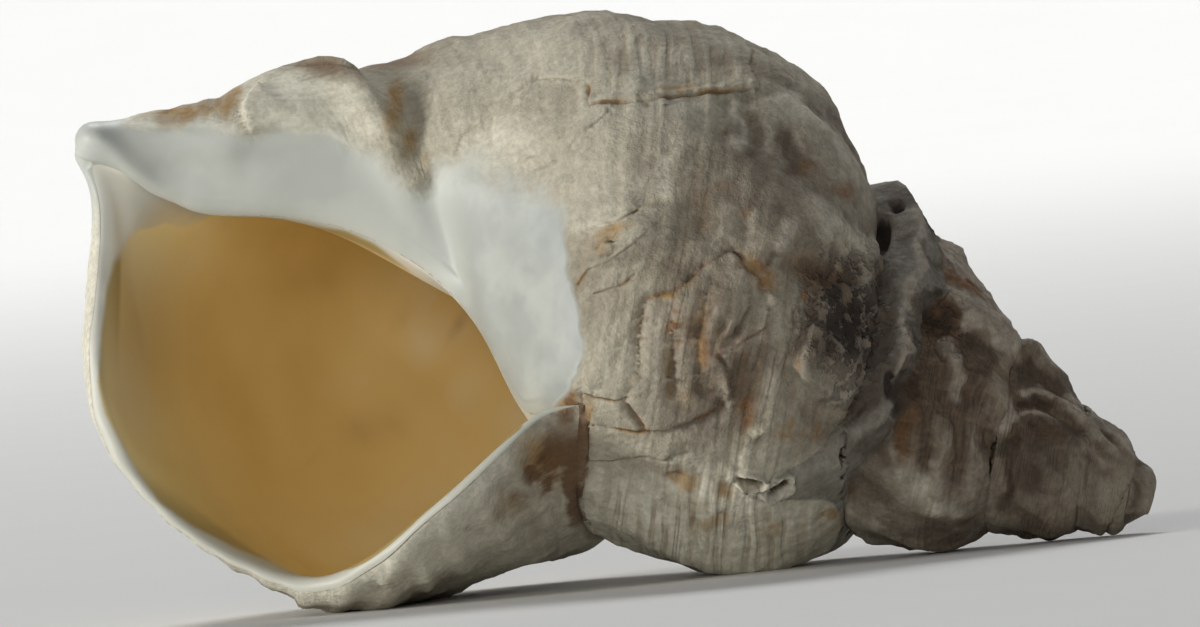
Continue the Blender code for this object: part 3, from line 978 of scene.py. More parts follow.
@dataclass(frozen=True)
class Spot:
    """A soft oval mark in the photograph's pixels, turned by a tilt in degrees (clockwise)."""

    x: float
    y: float
    wide: float
    high: float
    strength: float = 1
    tilt: float = 0

    def share(self, pixels: Values) -> Values:
        """How strongly the mark covers pixels.

        Args:
            pixels: rows of x and y.

        Returns:
            One value for each pixel.
        """
        turn = radians(self.tilt)
        across, down = pixels[:, 0] - self.x, pixels[:, 1] - self.y
        first = (across * np.cos(turn) + down * np.sin(turn)) / self.wide
        second = (down * np.cos(turn) - across * np.sin(turn)) / self.high
        return self.strength * np.exp(-(first ** 2 + second ** 2))

    def cut(self, pixels: Values) -> Values:
        """The same mark with a sharper edge, from 0 to 1."""
        return ease(self.share(pixels) / self.strength * 2.4 - 0.5)

    def rim(self, pixels: Values) -> Values:
        """A ring round the mark, from 0 to 1."""
        return np.exp(-((self.share(pixels) / self.strength - 0.2) / 0.13) ** 2)


@dataclass(frozen=True)
class Ridge:
    """A ridge, or with a negative rise a groove, along a line of named pixels."""

    line: tuple
    rise: float
    left: float = 6
    right: float = 6
    ends: float = 0.2

    def height(self, pixels: Values) -> Values:
        """Its rise at pixels, in millimetres. The widths are pixels on the line's left and right.

        Args:
            pixels: rows of x and y.

        Returns:
            One rise for each pixel.
        """
        signed, along = to_line(pixels, self.line)
        width = np.where(signed > 0, self.left, self.right)
        ends = ease(along / self.ends) * ease((1 - along) / self.ends)
        return self.rise * ends * np.exp(-(signed / width) ** 2)


def strongest(spots: tuple, pixels: Values) -> Values:
    """The strongest of some marks at each pixel.

    Args:
        spots: the marks.
        pixels: rows of x and y.

    Returns:
        One value for each pixel.
    """
    total = np.zeros(len(pixels))
    for spot in spots:
        total = np.maximum(total, spot.share(pixels))
    return total


def pairs(*numbers: float) -> tuple:
    """Pixels from their x and y in turn."""
    return tuple(zip(numbers[::2], numbers[1::2]))


def marks_of(kind: type, *rows: tuple) -> tuple:
    """Marks of one kind from rows of their fields, where a line is given as its x and y in turn."""
    return tuple(kind(*(pairs(*part) if isinstance(part, tuple) else part for part in row)) for row in rows)


@dataclass(frozen=True)
class WearMarks:
    """The named marks of wear and stain, and of painted light and shade, on the side turned to the camera,
    in the photograph's pixels.
    """

    callus: tuple = pairs(
        40, 100, 92, 106, 108, 119, 149, 126, 178, 126, 210, 126, 246, 135, 274, 129, 330, 133, 346, 143,
        374, 154, 392, 172, 417, 190, 431, 176, 447, 165, 489, 172, 535, 190, 558, 201, 563, 226, 567, 254,
        574, 286, 581, 311, 587, 343, 578, 376, 560, 397, 540, 430, 500, 440, 440, 400, 380, 330, 330, 290,
        240, 270, 40, 260)
    amber_area: tuple = pairs(
        437, 298, 404, 266, 376, 245, 347, 231, 311, 226, 261, 222, 214, 219, 186, 216, 160, 226, 134, 242,
        117, 262, 109, 290, 104, 330, 101, 382, 108, 412, 121, 436, 140, 470, 163, 501, 195, 524, 236, 545,
        290, 567, 323, 569, 364, 566, 400, 555, 417, 542, 425, 521, 454, 501, 474, 480, 495, 456, 526, 431,
        517, 409, 499, 378, 478, 345, 454, 318)
    flake: tuple = pairs(
        646, 301, 653, 295, 670, 294, 680, 288, 690, 279, 699, 269, 714, 262, 722, 256, 731, 252, 738, 259,
        743, 269, 757, 280, 765, 311, 760, 329, 746, 338, 725, 345, 717, 354, 725, 367, 727, 379, 730, 391,
        722, 402, 711, 411, 690, 420, 661, 429, 646, 427, 626, 399, 636, 382, 640, 364, 639, 341, 642, 317)
    small_flake: tuple = pairs(
        587, 347, 585, 376, 596, 391, 617, 395, 634, 385, 640, 367, 637, 341, 623, 335)
    cracks: tuple = marks_of(Crack,
        ((583, 391, 600, 395, 617, 398, 640, 392), 0.1), ((589, 416, 608, 423, 637, 429, 661, 429), 0.06),
        ((590, 455, 608, 458, 631, 455, 649, 452, 664, 458, 678, 443, 681, 432), 0.22),
        ((664, 458, 677, 452, 690, 449), 0.08),
        ((629, 458, 634, 479, 646, 490, 658, 496), -0.1, 0, 1.4, 0),
        ((590, 229, 617, 223, 640, 209), 0.12),
        ((596, 252, 604, 241, 616, 244, 613, 254, 600, 257), -0.1, 0.12),
        ((576, 288, 590, 270, 608, 263, 631, 247, 649, 232), 0.14, 0.06),
        ((592, 295, 623, 285, 637, 273), 0.08, 0.08),
        ((585, 81, 591, 93, 590, 108, 613, 108, 644, 103, 675, 100, 706, 97, 726, 95, 759, 90), 0.26, 0.16),
        ((759, 90, 752, 76, 749, 64, 752, 53), 0.2, 0.14),
        ((585, 81, 575, 80, 540, 81, 503, 110, 465, 138, 454, 162), -0.12, 0.05, 1.6, 0.1),
        ((532, 165, 558, 162, 571, 151, 585, 138, 606, 122, 613, 113), 0.15, 0.06, 1.4, 0.2),
        ((731, 252, 738, 257, 741, 266), 0.05),
        ((583, 388, 584, 396, 591, 456, 585, 492, 600, 521), 0.15, 0.25, 1.5, 0.5),
        ((262, 85, 248, 100, 243, 112, 247, 128, 256, 141), 0.4, 0.1, 2.5, 0.3),
        ((717, 354, 746, 338, 760, 329, 765, 311, 778, 300), 0.3, 0.05, 1.2, 0.1),
        ((730, 391, 727, 379, 725, 367, 717, 354), 0.25, 0.05, 1, 0.1),
        ((380, 583, 398, 577, 415, 570, 445, 566), 0.15, 0.15, 0.8, 0.3))
    ridges: tuple = marks_of(Ridge,
        ((417, 548, 425, 568, 431, 592), 0.45, 7, 8, 0.15),
        ((441, 517, 456, 546, 470, 575), 0.42, 8, 9, 0.15),
        ((473, 490, 496, 522, 521, 556), 0.42, 8, 9, 0.15),
        ((506, 458, 530, 490, 556, 530), 0.36, 8, 9, 0.15),
        ((786, 182, 818, 213, 846, 241, 868, 258, 882, 268), 0.62, 8, 12, 0.3),
        ((770, 250, 800, 268, 835, 276, 865, 288), -0.35, 10, 12, 0.25),
        ((736, 480, 744, 487, 756, 489, 767, 482, 778, 478, 788, 478, 790, 484, 774, 495), 0.55, 1.8, 1.8,
         0.04),
        ((738, 476, 746, 470, 756, 471, 763, 477), 0.4, 1.8, 1.8, 0.1),
        ((764, 486, 768, 492, 775, 494), 0.35, 1.8, 1.8, 0.1), ((791, 218, 782, 239, 774, 257), 0.35, 6, 6),
        ((755, 95, 780, 110, 805, 130, 840, 165, 868, 196), 0.3, 12, 16),
        ((728, 200, 726, 223, 718, 244), 0.3, 5, 6), ((733, 98, 738, 130, 742, 165), 0.16, 6, 6),
        ((767, 106, 768, 135, 764, 165), 0.16, 6, 6), ((773, 88, 800, 112, 826, 145), 0.2, 6, 8),
        ((750, 112, 753, 140, 752, 170), -0.16, 6, 6), ((782, 125, 788, 155, 790, 185), -0.16, 8, 8),
        ((670, 125, 666, 165, 660, 213), 0.12, 8, 8), ((697, 140, 700, 175, 700, 213), -0.12, 9, 9),
        ((754, 213, 751, 236), 0.2, 4, 5), ((830, 195, 828, 218), 0.25, 5, 5),
        ((772, 249, 764, 269), -0.3, 3, 3), ((656, 306, 655, 345, 657, 412), 0.42, 8, 8, 0.06),
        ((671, 300, 672, 323, 671, 359, 673, 400), -0.34, 4, 4, 0.08),
        ((684, 292, 682, 330, 684, 405), 0.34, 6, 7, 0.06),
        ((713, 268, 703, 300, 697, 333, 698, 371, 701, 400), -0.3, 4, 4, 0.08),
        ((722, 280, 713, 310, 708, 346, 708, 380), 0.34, 5, 6),
        ((726, 318, 713, 336, 705, 359), -0.3, 3, 3),
        ((736, 259, 741, 282, 739, 300, 728, 331, 716, 346), 0.28, 4, 5),
        ((749, 274, 746, 308, 733, 331, 718, 348), -0.35, 3, 3),
        ((766, 292, 764, 315, 757, 333, 739, 342, 719, 353, 726, 366, 723, 381, 728, 402), 0.3, 7, 2,
         0.04),
        ((784, 290, 788, 325, 790, 350), 0.16, 2.6, 2.6, 0.35),
        ((790, 287, 795, 315, 798, 345), 0.16, 2.6, 2.6, 0.35),
        ((797, 287, 803, 315, 806, 340), 0.14, 2.6, 2.6, 0.35),
        ((776, 300, 778, 330, 776, 360, 768, 385), 0.22, 3.5, 3.5),
        ((744, 350, 740, 380, 741, 410, 746, 440), -0.4, 6, 6),
        ((730, 366, 727, 385, 727, 410, 718, 430), 0.25, 4, 4), ((776, 360, 770, 390, 764, 421), 0.3, 4, 5),
        ((764, 421, 751, 436, 746, 454, 739, 474), 0.45, 2.2, 2.6, 0.08),
        ((759, 428, 748, 447, 744, 466), -0.25, 2, 2), ((730, 462, 723, 475), 0.3, 3, 3),
        ((889, 262, 888, 295, 883, 323, 880, 359, 866, 397, 840, 425, 800, 452), -0.3, 5, 6),
        ((626, 401, 635, 414, 645, 427), -0.35, 3, 2.4, 0.1),
        ((625, 464, 637, 485, 662, 498, 703, 508, 739, 508), 0.13, 8, 2.5),
        ((624, 470, 622, 510, 620, 540), 0.18, 4, 4), ((650, 490, 650, 530, 652, 552), 0.2, 4, 4),
        ((682, 470, 682, 515, 684, 560), 0.26, 3.5, 3.5), ((706, 510, 706, 535, 707, 562), 0.24, 4.5, 4.5),
        ((724, 512, 724, 540, 725, 566), 0.2, 4, 4), ((662, 480, 662, 520, 664, 555), -0.22, 2.6, 2.6),
        ((694, 510, 696, 540, 697, 562), -0.25, 3, 3), ((752, 500, 758, 530, 760, 560), 0.15, 6, 6),
        ((803, 500, 808, 525, 808, 545), 0.15, 7, 7),
        ((926, 286, 944, 300, 970, 316, 990, 330, 1006, 348, 1018, 366), 0.95, 9, 12, 0.12),
        ((1016, 352, 1030, 350, 1046, 366, 1058, 384), 0.45, 7, 7),
        ((940, 330, 953, 359, 958, 378, 952, 410), 0.35, 7, 9),
        ((985, 372, 994, 395, 1000, 420, 998, 450), 0.35, 8, 6),
        ((905, 440, 908, 475, 902, 510), 0.3, 9, 9), ((935, 420, 938, 470, 932, 515), 0.35, 8, 8),
        ((965, 420, 970, 460, 966, 505), 0.3, 7, 7), ((920, 400, 924, 435, 922, 480), -0.35, 6, 6),
        ((951, 400, 956, 440, 954, 490), -0.35, 5, 5), ((984, 425, 989, 450, 986, 480), -0.45, 4, 4),
        ((1024, 388, 1048, 397, 1066, 407, 1088, 427, 1107, 447, 1122, 463), 0.35, 4, 4),
        ((1024, 401, 1046, 410, 1066, 420, 1084, 436), -0.3, 3.5, 3.5),
        ((1022, 414, 1048, 424, 1068, 437, 1090, 452, 1118, 476), 0.25, 4, 4),
        ((1040, 440, 1044, 475, 1040, 505), 0.2, 7, 7), ((1058, 445, 1061, 480, 1057, 508), -0.18, 4, 4),
        ((1100, 470, 1103, 492, 1100, 512), 0.15, 6, 6))
    dents: tuple = marks_of(Spot,
        (806, 268, 20, 26, -0.6), (738, 219, 8, 12, -0.3), (700, 221, 12, 22, -0.25),
        (938, 316, 18, 18, -0.8), (936, 265, 8, 9, -0.5), (852, 408, 22, 14, -0.6, -40),
        (902, 386, 10, 20, -0.9, 10), (700, 478, 9, 8, -0.3), (723, 486, 6, 7, -0.5),
        (677, 472, 16, 9, -0.35), (1010, 440, 8, 40, -0.3), (968, 392, 12, 12, -0.5))
    pitted: tuple = marks_of(Spot,
        (846, 320, 38, 66, 1.25, -6), (838, 392, 28, 22, 0.6), (938, 330, 34, 40, 0.6))
    holes: tuple = marks_of(Spot,
        (881, 238, 9, 19, 1.1, 12), (896, 208, 6, 7, 0.7), (888, 384, 8, 16, 0.8), (612, 240, 5, 4, 0.25),
        (676, 478, 12, 6, 0.16))
    mouth: tuple = marks_of(Spot,
        (748, 478, 12, 6, 1.1, 14), (776, 484, 12, 3.8, 0.8, -32))
    swells: tuple = marks_of(Spot,
        (1036, 348, 18, 13, 0.9), (1066, 378, 12, 12, 0.3), (955, 252, 18, 14, 0.4),
        (1040, 541, 44, 14, -0.8), (290, 118, 44, 22, 0.4), (322, 56, 34, 24, -1),
        (392, 50, 42, 26, -0.85), (399, 112, 14, 34, 0.25), (424, 168, 14, 34, 0.45, 12),
        (455, 120, 18, 40, 0.3, 20), (172, 112, 9, 14, -0.25, 30), (194, 108, 7, 14, -0.25, 30),
        (216, 104, 7, 14, -0.3, 30), (610, 365, 24, 26, 0.15))
    fine: tuple = marks_of(Spot,
        (680, 60, 110, 40, 0.4), (690, 350, 60, 80, 0.35), (770, 390, 50, 90, 0.5),
        (690, 525, 140, 45, 1.1), (1000, 430, 90, 90, 0.3), (520, 500, 50, 30, 0.3))
    orange: tuple = marks_of(Spot,
        (678, 94, 22, 6, 0.9), (700, 20, 20, 10, 0.5), (796, 170, 14, 12, 0.5), (722, 190, 12, 10, 0.5),
        (656, 205, 12, 5, 0.4), (806, 300, 8, 20, 0.6), (672, 330, 3, 36, 0.8), (705, 350, 4, 30, 0.7),
        (756, 268, 10, 14, 0.7), (745, 215, 10, 10, 0.8), (762, 286, 11, 16, 0.9), (785, 425, 13, 13, 0.9),
        (815, 428, 12, 14, 0.8), (712, 520, 18, 9, 0.8), (770, 524, 14, 8, 0.7), (828, 512, 16, 9, 0.7),
        (744, 400, 8, 42, 0.7), (960, 288, 24, 13, 0.8, 40), (612, 228, 26, 8, 0.5), (880, 490, 14, 8, 0.5),
        (700, 500, 60, 8, 0.4), (676, 478, 20, 9, 0.8), (722, 487, 10, 9, 0.9), (790, 360, 8, 20, 0.5, -10),
        (396, 100, 6, 16, 0.5), (846, 190, 30, 12, 0.5), (700, 350, 6, 60, 0.5), (655, 350, 4, 50, 0.5),
        (850, 490, 10, 20, 0.4), (940, 246, 10, 14, 0.6), (920, 205, 8, 12, 0.5), (700, 330, 50, 60, 0.28))
    # Umber stains; the spots at (908, 388), (940, 312) and (935, 322) are painted shadow in the pockets
    # beside the keel.
    umber: tuple = marks_of(Spot,
        (908, 388, 10, 16, 1), (1036, 405, 20, 6, 0.8), (1044, 434, 30, 10, 0.6), (940, 312, 16, 16, 1),
        (576, 440, 14, 46, 1.7), (562, 432, 13, 26, 1.4, 20), (572, 486, 12, 26, 1.5),
        (531, 470, 13, 10, 1.2), (548, 450, 12, 18, 1.2, 30), (520, 490, 7, 14, 1, 45),
        (543, 478, 20, 5, 1, -45), (515, 500, 22, 22, 0.4, 40), (470, 525, 10, 6, 0.5),
        (495, 510, 14, 8, 0.5), (935, 322, 26, 26, 0.8), (676, 474, 12, 6, 0.7),
        (905, 430, 16, 40, 0.8, 15), (171, 112, 4, 9, 0.6, 30), (396, 98, 4, 12, 0.5),
        (572, 500, 10, 12, 0.9), (881, 238, 16, 26, 0.6), (1005, 410, 12, 40, 0.4), (845, 480, 8, 26, 0.5),
        (596, 400, 8, 10, 0.3))
    grey: tuple = marks_of(Spot,
        (850, 330, 60, 90, 0.8), (800, 190, 90, 70, 0.5), (520, 545, 60, 30, 0.25),
        (1000, 430, 120, 90, 0.6), (430, 590, 60, 20, 0.4))
    # Cream patches, partly the shell's own colour; those on the knob (295, 108), the upper body (590, 190),
    # (540, 60), the lower body (690, 525) and the lip's lower outer face (470, 520), (500, 540), (440, 555)
    # also paint in light.
    cream: tuple = marks_of(Spot,
        (500, 150, 60, 40, 0.8), (590, 190, 90, 60, 0.5), (540, 60, 110, 40, 0.45),
        (640, 120, 80, 40, 0.35), (490, 80, 110, 50, 0.4), (295, 108, 70, 36, 1.6),
        (470, 520, 90, 40, 0.9, -40), (500, 540, 70, 40, 0.8), (545, 515, 36, 26, 0.5),
        (140, 130, 110, 40, 1.2), (540, 150, 80, 60, 0.3), (620, 360, 60, 60, 0.3),
        (690, 525, 150, 60, 1.35), (360, 130, 50, 30, 0.8), (480, 170, 60, 20, 0.6),
        (440, 555, 120, 40, 0.8), (920, 486, 11, 17, 0.8), (934, 503, 13, 8, 0.8), (874, 515, 14, 8, 0.7),
        (900, 472, 9, 8, 0.6), (953, 508, 10, 6, 0.7), (890, 450, 10, 16, 0.35))
    ochre: tuple = marks_of(Spot,
        (540, 450, 34, 30, 0.85, -40), (566, 410, 12, 20, 1), (505, 505, 30, 16, 0.5, -40),
        (172, 118, 13, 20, 1.4, 30), (188, 116, 6, 18, 1.2, 30), (199, 112, 5, 16, 1.2, 30),
        (214, 108, 5, 15, 1.1, 30), (230, 105, 10, 17, 1.3, 25), (238, 94, 7, 9, 1),
        (150, 116, 22, 9, 0.5), (394, 108, 11, 32, 1, 8), (410, 142, 10, 20, 0.8, 15),
        (428, 168, 10, 20, 0.5), (612, 232, 24, 9, 0.6, -20), (604, 250, 12, 8, 0.5),
        (590, 408, 10, 16, 0.9), (575, 395, 6, 10, 0.9), (668, 296, 12, 4, 0.8),
        (690, 285, 12, 4, 0.7, -40), (636, 320, 4, 20, 0.5), (668, 370, 5, 40, 0.8), (700, 340, 5, 50, 0.6),
        (608, 240, 22, 7, 0.5, -25), (745, 262, 14, 12, 0.6), (684, 395, 16, 20, 0.5),
        (715, 330, 14, 14, 0.4), (610, 60, 30, 16, 0.3), (258, 112, 5, 22, 0.4), (335, 100, 12, 16, 0.35))
    # Paler places in the hollow; the first spot paints light onto the canal's inner side, which lies in the
    # lip's shadow.
    pale_inside: tuple = marks_of(Spot,
        (108, 205, 24, 60, 1.2), (96, 330, 10, 80, 0.7), (430, 335, 34, 26, 1), (470, 390, 26, 30, 0.8),
        (410, 270, 30, 34, 0.6), (345, 385, 34, 20, 0.5), (420, 300, 16, 40, 0.6), (220, 260, 60, 30, 0.3))
    # Deeper places in the hollow; the first, large spot paints shade onto its left wall.
    deep_inside: tuple = marks_of(Spot,
        (140, 330, 60, 130, 0.7), (452, 326, 10, 8, 1, 20), (370, 430, 50, 26, 0.5),
        (305, 280, 60, 30, 0.4), (312, 462, 7, 5, 1), (390, 320, 30, 14, 0.4), (352, 500, 8, 4, 0.5))
    # Dark weathering patches that also paint the shade over the body whorl's middle and right.
    patina_and_shade: tuple = marks_of(Spot,
        (790, 200, 120, 120, 0.75), (705, 345, 95, 110, 0.95), (730, 540, 90, 30, 0.5),
        (850, 330, 60, 90, 0.95), (820, 420, 60, 50, 0.6), (740, 210, 60, 60, 0.35),
        (760, 500, 80, 40, 0.4), (700, 310, 60, 60, 0.25))
    # Painted highlight and shade strokes: pale along crests, dark in grooves and hollows; the darkest
    # strokes are painted shadow in the pockets beside the tube.
    shades: tuple = marks_of(Ridge,
        ((926, 284, 940, 294, 959, 304, 981, 321, 997, 339, 1010, 355, 1020, 369), 1, 8, 8, 0.15),
        ((938, 240, 950, 255, 968, 270, 984, 287, 995, 306), 1.1, 8, 9, 0.1),
        ((1034, 424, 1040, 460, 1036, 500), -0.9, 18, 22, 0.15),
        ((1066, 440, 1068, 465, 1062, 490), -0.35, 8, 8, 0.2),
        ((1022, 338, 1040, 349, 1054, 369), 0.7, 7, 7, 0.1),
        ((1016, 390, 1036, 391, 1052, 399, 1073, 412, 1090, 426), 1, 4, 4, 0.1),
        ((1016, 416, 1040, 416, 1066, 424), 0.8, 3.5, 3.5, 0.1),
        ((1030, 378, 1056, 402, 1081, 416, 1101, 430), 0.5, 3.5, 3.5, 0.1),
        ((1061, 388, 1086, 411, 1112, 432, 1137, 462), 0.5, 6, 6, 0.1),
        ((919, 198, 917, 246, 919, 272, 907, 292, 902, 328, 904, 343, 899, 369, 885, 400), 0.9, 2.5, 6,
         0.05),
        ((994, 402, 1006, 405, 1011, 416, 1003, 427, 992, 434), 0.7, 7, 7, 0.15),
        ((942, 345, 950, 352, 955, 368), 0.4, 3, 3, 0.2),
        ((880, 266, 862, 254, 846, 241, 818, 213, 797, 194), 0.8, 7, 7, 0.15),
        ((791, 218, 782, 239, 774, 257), 0.6, 6, 6, 0.15),
        ((752, 208, 748, 232, 742, 252), 0.5, 6, 6, 0.15),
        ((730, 200, 728, 223, 720, 244), 0.5, 6, 6, 0.15), ((655, 308, 655, 345, 657, 408), 0.5, 6, 6, 0.1),
        ((684, 296, 682, 330, 684, 400), 0.45, 5, 5, 0.1),
        ((640, 205, 600, 222, 575, 232), 0.4, 7, 7, 0.15), ((733, 98, 738, 130, 742, 165), 0.6, 6, 6),
        ((767, 106, 768, 135, 764, 165), 0.55, 6, 6), ((773, 88, 800, 112, 826, 145), 0.65, 6, 8),
        ((722, 104, 724, 130, 722, 160), -0.6, 5, 5), ((750, 112, 753, 140, 752, 170), -0.8, 6, 6),
        ((782, 125, 788, 155, 790, 185), -0.8, 8, 8), ((697, 140, 700, 175, 700, 213), -0.5, 9, 9),
        ((670, 125, 666, 165, 660, 213), 0.45, 7, 7),
        ((765, 95, 800, 118, 835, 150, 865, 190, 885, 228), 0.5, 10, 14, 0.15),
        ((645, 40, 643, 60, 646, 85), 0.35, 5, 5), ((662, 50, 666, 70, 664, 88), -0.4, 5, 5),
        ((676, 36, 684, 60, 690, 85), 0.35, 6, 6), ((703, 40, 712, 60, 718, 84), -0.4, 6, 6),
        ((700, 470, 660, 464, 625, 466), -0.4, 6, 6, 0.15),
        ((600, 462, 602, 490, 600, 520), 0.5, 5, 5, 0.15),
        ((625, 470, 626, 500, 624, 540), 0.5, 5, 5, 0.15),
        ((904, 368, 899, 392, 886, 412), -1.4, 13, 3, 0.05),
        ((886, 412, 870, 430, 850, 448), -1, 12, 3, 0.1),
        ((924, 288, 936, 308, 950, 330), -1.5, 11, 13, 0.1),
        ((912, 318, 914, 345, 908, 368), -1, 8, 6, 0.1),
        ((957, 334, 975, 348, 998, 366), -1.1, 9, 9, 0.15),
        ((1024, 350, 1028, 366, 1040, 382), -1.2, 5, 6, 0.15),
        ((1012, 404, 1036, 404, 1054, 411), -1.7, 7, 7, 0.15),
        ((1012, 372, 1038, 378, 1064, 389), -1, 6, 6, 0.15),
        ((1014, 430, 1046, 430, 1082, 442), -1.1, 9, 11, 0.15),
        ((998, 436, 1003, 448, 1002, 462), -1, 8, 8, 0.15),
        ((1002, 484, 1006, 494, 1004, 504), -0.7, 9, 9, 0.15),
        ((905, 372, 912, 388, 906, 402), -1.5, 10, 8, 0.15),
        ((1011, 424, 1010, 450, 1009, 474, 1004, 498), -1.4, 6, 5, 0.05),
        ((990, 438, 989, 450, 991, 462), -1.4, 4, 4, 0.1),
        ((1022, 430, 1026, 455, 1022, 480), -0.5, 7, 7, 0.15),
        ((1050, 430, 1054, 455, 1050, 480), -0.35, 7, 7, 0.15),
        ((1084, 449, 1085, 472, 1078, 495), -0.7, 3.5, 3.5, 0.1),
        ((1129, 468, 1131, 490, 1122, 520), -0.5, 3, 3, 0.1),
        ((925, 420, 928, 440, 924, 462), -0.5, 5, 5, 0.15),
        ((943, 445, 945, 465, 942, 480), -0.5, 4, 4, 0.15),
        ((959, 440, 961, 458, 958, 475), -0.5, 4, 4, 0.15),
        ((953, 520, 980, 526, 1000, 520), -0.5, 9, 9, 0.15),
        ((846, 462, 852, 480, 846, 505), -0.6, 8, 8, 0.15),
        ((905, 395, 915, 408, 925, 416), -0.6, 9, 9, 0.15),
        ((1140, 462, 1148, 486, 1140, 512), 0.35, 9, 9, 0.15),
        ((790, 256, 808, 268, 830, 278), -0.95, 14, 12, 0.15),
        ((884, 280, 885, 310, 880, 345, 868, 380), -0.55, 6, 6, 0.1))
    bead: tuple = marks_of(Ridge,
        ((84, 150, 98, 142, 116, 150, 136, 170, 158, 190, 186, 203), 0.42, 9, 9, 0.3),
        ((120, 136, 150, 150, 185, 168, 225, 184, 265, 196), -0.36, 24, 18, 0.35))
    mottles: tuple = marks_of(Spot,
        (520, 300, 80, 150, 0.55), (548, 352, 22, 26, 1.1), (520, 300, 18, 24, 0.9),
        (500, 230, 26, 16, 0.8), (545, 240, 14, 22, 1), (530, 330, 12, 34, 0.8),
        (530, 270, 22, 10, 0.9, 20))

    def tone(self, pixels: Values) -> Values:
        """Painted highlight on crests (up to 1) and painted shade, with some grime, in hollows (down to -1).

        Args:
            pixels: rows of x and y.

        Returns:
            One value for each pixel.
        """
        pale, dark = np.zeros(len(pixels)), np.zeros(len(pixels))
        # The ridges also paint highlight on their crests and shade in their grooves.
        for ridges, share in ((self.shades, 1), (self.ridges, 1.3)):
            for ridge in ridges:
                height = share * ridge.height(pixels)
                pale, dark = np.maximum(pale, height), np.minimum(dark, height)
        return np.clip(pale + 0.75 * dark, -1, 1)


